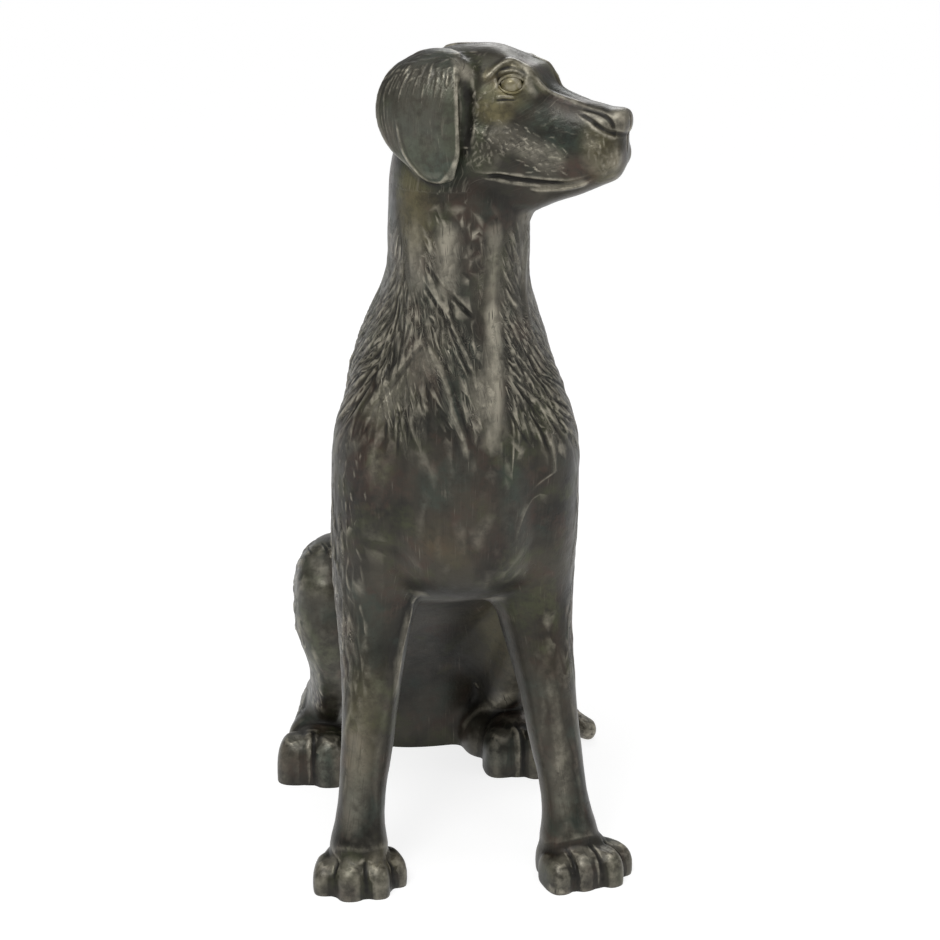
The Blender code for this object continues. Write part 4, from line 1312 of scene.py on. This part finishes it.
# Places where only what stands out is rubbed bare.
WORN = (
    ("head", ((46, -55, 692), (37, -76, 680), (30, -96, 668)), 11, 0.75),
    ("head", ((70, 14, 734), (72, 0, 726)), 18, 0.35),
    ("head", ((47, -40, 690), (48, -34, 720)), 9, 0.25),
    ("body", ((-16, -50, 618), (24, -50, 608)), 15, 0.4),
    ("body", ((-92, -28, 240), (-94, -32, 200)), 14, 0.5),
    ("body", ((-92, -30, 440), (-60, -52, 430)), 26, 0.7),
    ("body", ((-74, -53, 413), (-93, -42, 400)), 20, 0.5),
)
# Painted shade: dark patches where shade falls, in the gap before the ear, under the brow, in the nostril and
# the mouth, under the jaw, under the chest, between the fore legs, under the belly, inside the left hind leg
# and down the right shoulder, with a streak down the front of the neck and a line along the foot of the left
# fore paw.
PAINTED_SHADE_PATCHES = (
    ("head", ((54, -27, 742), (53, -30, 722), (53, -30, 700), (53, -30, 676)), 4, 1.0),
    ("head", ((38, -52, 740), (34, -62, 743), (32, -70, 740)), 3.5, 0.8),
    ("head", ((19, -126, 703), (20, -134, 698), (19, -143, 694)), 2.6, 0.4),
    ("head", ((45, -48, 654), (35, -70, 651), (28, -85, 649), (25, -98, 648)), 2.4, 0.9),
    ("head", ((56, -20, 654), (46, -46, 646), (34, -66, 634)), 11, 0.45),
    ("body", ((6, -60, 540), (8, -64, 480)), 10, 0.4),
    ("body", ((78, -88, 9), (96, -93, 9), (114, -89, 9)), 2, 0.8),
    ("body", ((-38, -34, 282), (-10, -40, 284), (8, -40, 284), (34, -38, 282)), 13, 0.75),
    ("body", ((-35, -17, 269), (4, -31, 270), (28, -32, 273)), 8, 0.5),
    ("body", ((20, -62, 309),), 7, 0.5),
    ("body", ((26, 190, 160), (44, 212, 134), (54, 228, 90)), 22, 0.75),
    ("body", ((62, 190, 110), (70, 176, 60)), 20, 0.6),
    ("body", ((-57, -31, 505), (-67, 1, 521)), 12, 0.3),
    ("body", ((10, 150, 190), (10, 250, 60)), 46, 0.35),
    ("body", ((-106, -24, 420), (-103, -22, 310)), 22, 0.3),
)


def gap_to(line):
    """How far each point is from a line through some places."""
    line = np.array(line, float)
    if len(line) == 1:
        return np.linalg.norm(places - line[0], axis=1)
    gap = np.full(count, np.inf)
    for start, end in zip(line, line[1:]):
        way = end - start
        share = np.clip((places - start) @ way / (way @ way), 0, 1)
        gap = np.minimum(gap, np.linalg.norm(places - start - share[:, None] * way, axis=1))
    return gap


def patches(table):
    """How strongly each point lies in soft patches along lines. Those of the head are put on either side.

    A patch is full up to 0.4 of its reach and gone at twice its reach.
    """
    total = np.zeros(count)
    for part, line, reach, amount in table:
        lines = [turned(line, side) for side in (-1, 1)] if part == "head" else [line]
        for route in lines:
            near = np.clip(1.25 - gap_to(route) / (1.6 * reach), 0, 1)
            total = np.maximum(total, amount * near * near * (3 - 2 * near))
    return total


# Painted highlights on the knuckles of the toes and painted shade in the lines of the paws, each with a
# reach and a strength. Painted shade also darkens the skin towards the ground, up to a height.
KNUCKLE_REACH, KNUCKLE_HIGHLIGHT = 9, 0.35
CREASE_REACH, CREASE_SHADE = 5, 0.45
GROUND_SHADE_TOP, GROUND_SHADE_DARK = 30, 0.5
toes = np.zeros(count)
crease_shade = np.zeros(count)
for place in PAWS:
    ankle, turn, spread, height, _ = place
    for line in [crease(*place), *clefts(*place)]:
        crease_shade = np.maximum(crease_shade, np.clip(0.9 - gap_to(line) / CREASE_REACH, 0, CREASE_SHADE))
    for x, y, *_ in spread:
        knuckle = np.array(set_at(ankle, turn) @ Vector((x, y - 10, height * 0.86)))
        gap = np.linalg.norm(places - knuckle, axis=1)
        toes = np.maximum(toes, np.clip(1.2 - gap / KNUCKLE_REACH, 0, KNUCKLE_HIGHLIGHT))
ground_shade = np.clip(1 - places[:, 2] / GROUND_SHADE_TOP, 0, 1) * GROUND_SHADE_DARK
pale = patches(PALE_AND_HIGHLIGHT)
for name, values in (
    ("ochre", patches(OCHRE)),
    ("green", patches(GREEN)),
    ("red", patches(RED)),
    ("pale", np.maximum(pale, toes)),
    ("worn", patches(WORN)),
    ("painted_shade", np.maximum(np.maximum(ground_shade, crease_shade), patches(PAINTED_SHADE_PATCHES))),
):
    note(dog, name, values)
print("points in pale patches:", int((pale > 0.3).sum()))

# %% [markdown]
# ## Which way the scratches run
#
# Fine scratches follow the hair. A noise texture makes them if its coordinates are stretched: one runs across
# the hair and changes fast, the other runs along it and changes slowly. Under a lock the coordinates are the
# place in that lock. Elsewhere they follow the head, or the turn round the trunk or the leg and the height.

# %% Directions for the fine scratches
# Where the head begins, how far out the ears hang, and the top and reach of the fore legs.
HEAD_FROM, EAR_OUT = 640, 52
LEG_TOP, LEG_REACH = 300, 62
# How strongly the scratches show on bare metal, on the ears and in the hair.
BARE_SHARE, EAR_SHARE, HAIR_SHARE = 0.03, 0.28, 1.0
# The upright line that the scratches of the trunk run round, and the radius at which a turn is measured. The
# third coordinate only keeps the head's and the ears' scratches apart.
TRUNK_AXIS, TRUNK_RADIUS, LEG_RADIUS = (4, 60), 90, 30
HEAD_APART, EAR_APART = 3.0, 7.0
head_way = np.array(HEAD_PLACE.inverted().to_3x3())
local = (places - np.array(NECK_AXIS)) @ head_way.T
on_head = places[:, 2] > HEAD_FROM
on_ear = on_head & (np.abs(local[:, 0]) > EAR_OUT)


def wound(middle_x, middle_y, radius):
    """Coordinates that run round an upright line, and down it."""
    turn = np.arctan2(places[:, 0] - middle_x, middle_y - places[:, 1])
    return np.stack([turn * radius, places[:, 2], np.full(count, radius)], axis=1)


strand = wound(*TRUNK_AXIS, TRUNK_RADIUS)
stations = np.array(FORE_LEG[::-1])
for side in (-1, 1):
    leg_x = side * np.interp(places[:, 2], stations[:, 2], stations[:, 0])
    leg_y = np.interp(places[:, 2], stations[:, 2], stations[:, 1])
    on_leg = (np.hypot(places[:, 0] - leg_x, places[:, 1] - leg_y) < LEG_REACH) & (places[:, 2] < LEG_TOP)
    strand[on_leg] = wound(leg_x, leg_y, LEG_RADIUS)[on_leg]
out, back, up = local.T
strand[on_head] = np.stack([up - out, back, np.full(count, HEAD_APART)], axis=1)[on_head]
strand[on_ear] = np.stack([back + out, up, np.full(count, EAR_APART)], axis=1)[on_ear]
strand[combed] = skin.comb[sources][combed]
hair = np.where(on_ear, EAR_SHARE, BARE_SHARE)
hair[combed] = HAIR_SHARE
note(dog, "strand", strand)
note(dog, "hair", hair)
print("points on the head and on its ears:", int(on_head.sum()), int(on_ear.sum()))

# %% [markdown]
# ## The patinated metal
#
# Bronze under a patina is neither bare metal nor paint. The shader is a Principled BSDF that is half
# metallic, so that its highlights keep some of the colour of the metal and the hollows stay dark. Its colour
# is built in layers, as the patina was: a dark ground with brown clouds, a lighter shade in the hair, red
# brown, olive, teal and ochre, dark patina with painted shade in the hollows and grooves, and pale metal
# rubbed bare on the edges, with painted highlights on edges, hairs and the smooth bands of the neck.

# %% Helpers that lay out a material


def add_node(tree, kind, settings=(), **inputs):
    """Adds a shader node, sets its options, and sets or links its inputs by name."""
    made = tree.nodes.new("ShaderNode" + kind)
    for name, value in dict(settings).items():
        setattr(made, name, value)
    for name, value in inputs.items():
        plug(tree, made.inputs[name.replace("_", " ")], value)
    return made


def plug(tree, socket, value):
    """Links an output to a socket, or sets the socket to a plain value."""
    if isinstance(value, bpy.types.NodeSocket):
        tree.links.new(value, socket)
    else:
        socket.default_value = value


def calculate(tree, operation, *values):
    """A sum of arithmetic on outputs or plain numbers."""
    made = add_node(tree, "Math", {"operation": operation})
    for socket, value in zip(made.inputs, values):
        plug(tree, socket, value)
    return made.outputs[0]


def stretch(tree, value, low, high, bottom=0.0, top=1.0):
    """Maps a value from a range to another and keeps it inside."""
    made = add_node(tree, "MapRange", Value=value, From_Min=low, From_Max=high, To_Min=bottom, To_Max=top)
    return made.outputs["Result"]


def layer(tree, share, under, over):
    """Colour over colour, by a share."""
    made = add_node(tree, "Mix", {"data_type": "RGBA", "clamp_factor": True})
    plug(tree, made.inputs["Factor"], share)
    plug(tree, made.inputs["A"], under)
    plug(tree, made.inputs["B"], over)
    return made.outputs["Result"]


def noise(tree, place, scale, detail, rough):
    """Soft random spots, from 0 to 1, at places of any kind."""
    made = add_node(tree, "TexNoise", Vector=place, Scale=scale, Detail=detail, Roughness=rough)
    return made.outputs["Fac"]


def noted(tree, name, output="Fac"):
    """What was noted under a name for the points of the mesh."""
    return add_node(tree, "Attribute", {"attribute_name": name}).outputs[output]


# %% The bronze
# The colours of the layers, from the ground up.
GROUND, CLOUD = (0.011, 0.0098, 0.0065, 1), (0.041, 0.036, 0.025, 1)
HAIR_SHADE = (0.070, 0.066, 0.050, 1)
RED_BROWN = (0.062, 0.034, 0.024, 1)
OLIVE = (0.046, 0.050, 0.022, 1)
TEAL = (0.038, 0.060, 0.047, 1)
YELLOW_OCHRE = (0.170, 0.146, 0.070, 1)
# Dark patina and painted shade, laid in hollows, pits, cracks, grooves along the hair and the patches of
# painted shade.
SHADE_AND_DARK_PATINA = (0.009, 0.008, 0.006, 1)
# Pale bare metal, which also paints highlights on edges, single hairs and pale patches.
BARE_METAL_AND_HIGHLIGHT = (0.350, 0.323, 0.255, 1)


def moved_noise(tree, place, offset, scale, detail=4.0, rough=0.6):
    """Noise in space, read from a place of its own, so that no two layers share their spots."""
    moved = add_node(tree, "Mapping", Vector=place, Location=offset).outputs[0]
    return noise(tree, moved, scale, detail, rough)


def along_hair(tree, scale):
    """Noise in the coordinates of the hair: across it, along it, and from lock to lock."""
    way = noted(tree, "strand", "Vector")
    return noise(tree, add_node(tree, "Mapping", Vector=way, Scale=scale).outputs[0], 1.0, 2.0, 0.5)


def bronze():
    """The material of the casting."""
    material = bpy.data.materials.new("patinated bronze")
    material.use_nodes = True
    tree = material.node_tree
    shader = tree.nodes["Principled BSDF"]
    place = add_node(tree, "TexCoord").outputs["Object"]
    fine, broad = noted(tree, "fine relief"), noted(tree, "broad relief")
    hair, pale = noted(tree, "hair"), noted(tree, "pale")
    coarse = along_hair(tree, (0.40, 0.020, 0.37))
    thread = along_hair(tree, (0.85, 0.035, 0.71))
    shade = along_hair(tree, (0.05, 0.012, 0.53))
    clouds = moved_noise(tree, place, (0, 0, 0), 13.0)
    drift = moved_noise(tree, place, (3, 7, 1), 17.0)
    blotch = moved_noise(tree, place, (9, 2, 5), 28.0)
    spots = moved_noise(tree, place, (1, 1, 1), 95.0, 4.0, 0.65)
    flecks = moved_noise(tree, place, (5, 3, 8), 190.0, 3.0, 0.6)
    grit = moved_noise(tree, place, (2, 9, 4), 420.0, 3.0, 0.6)
    broken = stretch(tree, spots, 0.38, 0.58, 0.25, 1.0)
    uneven = stretch(tree, calculate(tree, "ADD", blotch, spots), 0.82, 1.08, 0.5, 1.0)

    def times(first, second):
        return calculate(tree, "MULTIPLY", first, second)

    def most(first, second):
        return calculate(tree, "MAXIMUM", first, second)

    ground = layer(tree, stretch(tree, clouds, 0.40, 0.60), GROUND, CLOUD)
    ground = layer(tree, times(stretch(tree, shade, 0.40, 0.66), hair), ground, HAIR_SHADE)
    reddish = most(times(stretch(tree, blotch, 0.52, 0.62), 0.5), noted(tree, "red"))
    ground = layer(tree, times(reddish, broken), ground, RED_BROWN)
    olive = times(stretch(tree, drift, 0.52, 0.62), times(broken, 0.8))
    ground = layer(tree, olive, ground, OLIVE)
    teal = most(times(stretch(tree, drift, 0.44, 0.36), 0.35), noted(tree, "green"))
    ground = layer(tree, times(teal, broken), ground, TEAL)
    rusty = times(noted(tree, "ochre"), stretch(tree, spots, 0.3, 0.55, 0.4, 1.0))
    ground = layer(tree, rusty, ground, YELLOW_OCHRE)

    # Dark patina lies in hollows and in the pits and cracks of the pale patches. The darkening in hollows, in
    # grooves along the hair and in the patches of painted shade is also painted shade.
    hollow_patina_and_shade = most(stretch(tree, fine, 0.0, -0.8), stretch(tree, broad, -0.05, -0.8))
    groove_shade = times(stretch(tree, coarse, 0.46, 0.34), hair)
    pits = times(stretch(tree, flecks, 0.60, 0.70), calculate(tree, "ADD", times(pale, 0.2), 0.2))
    cracks = times(stretch(tree, thread, 0.40, 0.33), pale)
    dark = most(times(hollow_patina_and_shade, 0.95), times(groove_shade, 0.85))
    dark = most(dark, most(most(pits, cracks), noted(tree, "painted_shade")))
    ground = layer(tree, dark, ground, SHADE_AND_DARK_PATINA)

    # Metal is bare in stray scratches and where relief is worn. The pale on edges, on single hairs and in
    # pale patches is partly rubbed metal and partly painted highlight.
    edge = times(stretch(tree, fine, 0.1, 0.8), stretch(tree, spots, 0.35, 0.65, 0.2, 1.0))
    hair_rubs_and_glints = times(stretch(tree, thread, 0.53, 0.66), hair)
    hair_rubs_and_glints = times(hair_rubs_and_glints, stretch(tree, blotch, 0.40, 0.58, 0.15, 0.85))
    stray = times(stretch(tree, thread, 0.64, 0.74), times(stretch(tree, blotch, 0.5, 0.6), 0.2))
    high = times(stretch(tree, fine, 0.0, 0.7), stretch(tree, spots, 0.35, 0.6, 0.2, 0.9))
    worn = times(noted(tree, "worn"), high)
    bare_and_highlit = most(most(most(edge, hair_rubs_and_glints), stray), most(times(pale, uneven), worn))
    clean = stretch(tree, most(pits, cracks), 0.0, 0.8, 1.0, 0.15)
    colour = layer(tree, times(bare_and_highlit, clean), ground, BARE_METAL_AND_HIGHLIGHT)
    plug(tree, shader.inputs["Base Color"], colour)

    dull = calculate(tree, "ADD", stretch(tree, spots, 0.3, 0.7, 0.32, 0.46), times(dark, 0.3))
    plug(tree, shader.inputs["Roughness"], dull)
    shader.inputs["Metallic"].default_value = 0.5
    shader.inputs["Coat Weight"].default_value = 0.08
    shader.inputs["Coat Roughness"].default_value = 0.3

    lines = calculate(tree, "ADD", coarse, times(thread, 0.5))
    height = calculate(tree, "ADD", times(lines, hair), times(grit, 0.12))
    height = calculate(tree, "ADD", height, times(spots, 0.45))
    height = calculate(tree, "SUBTRACT", height, times(pits, 0.4))
    bump = add_node(tree, "Bump", Height=height, Distance=0.0013, Strength=0.8)
    plug(tree, shader.inputs["Normal"], bump.outputs["Normal"])
    return material


dog.data.materials.clear()
dog.data.materials.append(bronze())
print("nodes in the bronze:", len(dog.data.materials[0].node_tree.nodes))

# %% [markdown]
# ## Standing in its place
#
# The figure was modelled on its own grid, so it moves once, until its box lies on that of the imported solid.
# Then it takes the solid's place.

# %% Place the dog
low, high = [np.array(corner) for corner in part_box("dog")]
corners = read(dog.data.vertices, "co")
move = (low + high) / 2 - (corners.min(axis=0) + corners.max(axis=0)) / 2
move[2] = 0
dog.data.transform(Matrix.Translation(move))
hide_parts("dog")
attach(dog, "root")
print("moved by", move.round(4), "and stands", round(float(corners[:, 2].max()), 4), "m high")

# %% [markdown]
# ## Floor, light and camera
#
# The floor is pale and plain. One broad soft light stands high in front, one fills from the right of the
# picture and one from behind, and a soft sun shines from above, as in a product studio. The surroundings are
# white to the camera but light the dog less than that, so that its hollows stay dark. The camera stands a
# little to the dog's right and looks down on it.

# %% The floor
# Half the width of the floor, in metres.
FLOOR_HALF = 80


def floor():
    """A wide pale floor that glows enough to look white."""
    form = bmesh.new()
    bmesh.ops.create_grid(form, x_segments=1, y_segments=1, size=FLOOR_HALF)
    material = bpy.data.materials.new("pale floor")
    material.use_nodes = True
    shader = material.node_tree.nodes["Principled BSDF"]
    shader.inputs["Base Color"].default_value = (0.3, 0.3, 0.3, 1)
    shader.inputs["Roughness"].default_value = 0.9
    shader.inputs["Specular IOR Level"].default_value = 0.1
    shader.inputs["Emission Color"].default_value = (1, 1, 1, 1)
    shader.inputs["Emission Strength"].default_value = 0.80
    plane = add_object("floor", mesh_of(form, "floor"))
    plane.data.materials.append(material)
    return plane


floor()
print("width of the floor:", 2 * FLOOR_HALF, "m")

# %% The lights
# The soft lights look at the middle of the dog. Each has a place and a size in metres, and a power in watts.
MIDDLE = (0, 0, 0.38)
LIGHTS = (
    ("high front light", (-0.9, -1.7, 2.3), 0.8, 19.5),
    ("right fill", (2.2, -1.2, 1.3), 1.0, 6),
    ("back light", (0.6, 2.0, 2.0), 1.2, 12),
)
SUN, SUN_ANGLE, SUN_TILT = 1.05, 50, (22, -10, 0)
SKY_LIGHT = 0.34

for name, place, size, power in LIGHTS:
    light = bpy.data.lights.new(name, "AREA")
    light.shape = "DISK"
    light.size = size
    light.energy = power
    lamp = add_object(name, light)
    lamp.location = place
    lamp.rotation_euler = (Vector(MIDDLE) - Vector(place)).to_track_quat("-Z", "Y").to_euler()
light = bpy.data.lights.new("overhead light", "SUN")
light.energy = SUN
light.angle = math.radians(SUN_ANGLE)
add_object("overhead light", light).rotation_euler = [math.radians(angle) for angle in SUN_TILT]
sky = bpy.data.worlds.new("white studio")
sky.use_nodes = True
studio = sky.node_tree.nodes["Background"]
studio.inputs["Color"].default_value = (1, 1, 1, 1)
seen = add_node(sky.node_tree, "LightPath").outputs["Is Camera Ray"]
brightness = calculate(sky.node_tree, "MULTIPLY_ADD", seen, 1 - SKY_LIGHT, SKY_LIGHT)
plug(sky.node_tree, studio.inputs["Strength"], brightness)
bpy.context.scene.world = sky
bpy.context.scene.view_settings.view_transform = "Standard"
print("lights:", len(LIGHTS) + 1)

# %% The camera
# The lens in millimetres, the place in metres, and the turn and the downward tilt, as the photo was taken.
LENS = 84.14
CAMERA_PLACE = (-0.25643, -1.88151, 0.93)
CAMERA_TURN, CAMERA_TILT = -8.15, 16.11


def camera():
    """The camera, which moves along with the dog."""
    lens = bpy.data.cameras.new("camera")
    lens.sensor_width = 36
    lens.lens = LENS
    obj = add_object("camera", lens)
    turn, tilt = math.radians(CAMERA_TURN), math.radians(CAMERA_TILT)
    ahead = Vector((-math.sin(turn) * math.cos(tilt), math.cos(turn) * math.cos(tilt), -math.sin(tilt)))
    right = Vector((math.cos(turn), math.sin(turn), 0))
    frame_matrix = Matrix((right, right.cross(ahead), -ahead)).transposed().to_4x4()
    obj.matrix_world = Matrix.Translation(Vector(CAMERA_PLACE) + Vector(move)) @ frame_matrix
    return obj


bpy.context.scene.camera = camera()
print("camera at", [round(value, 3) for value in bpy.context.scene.camera.location])
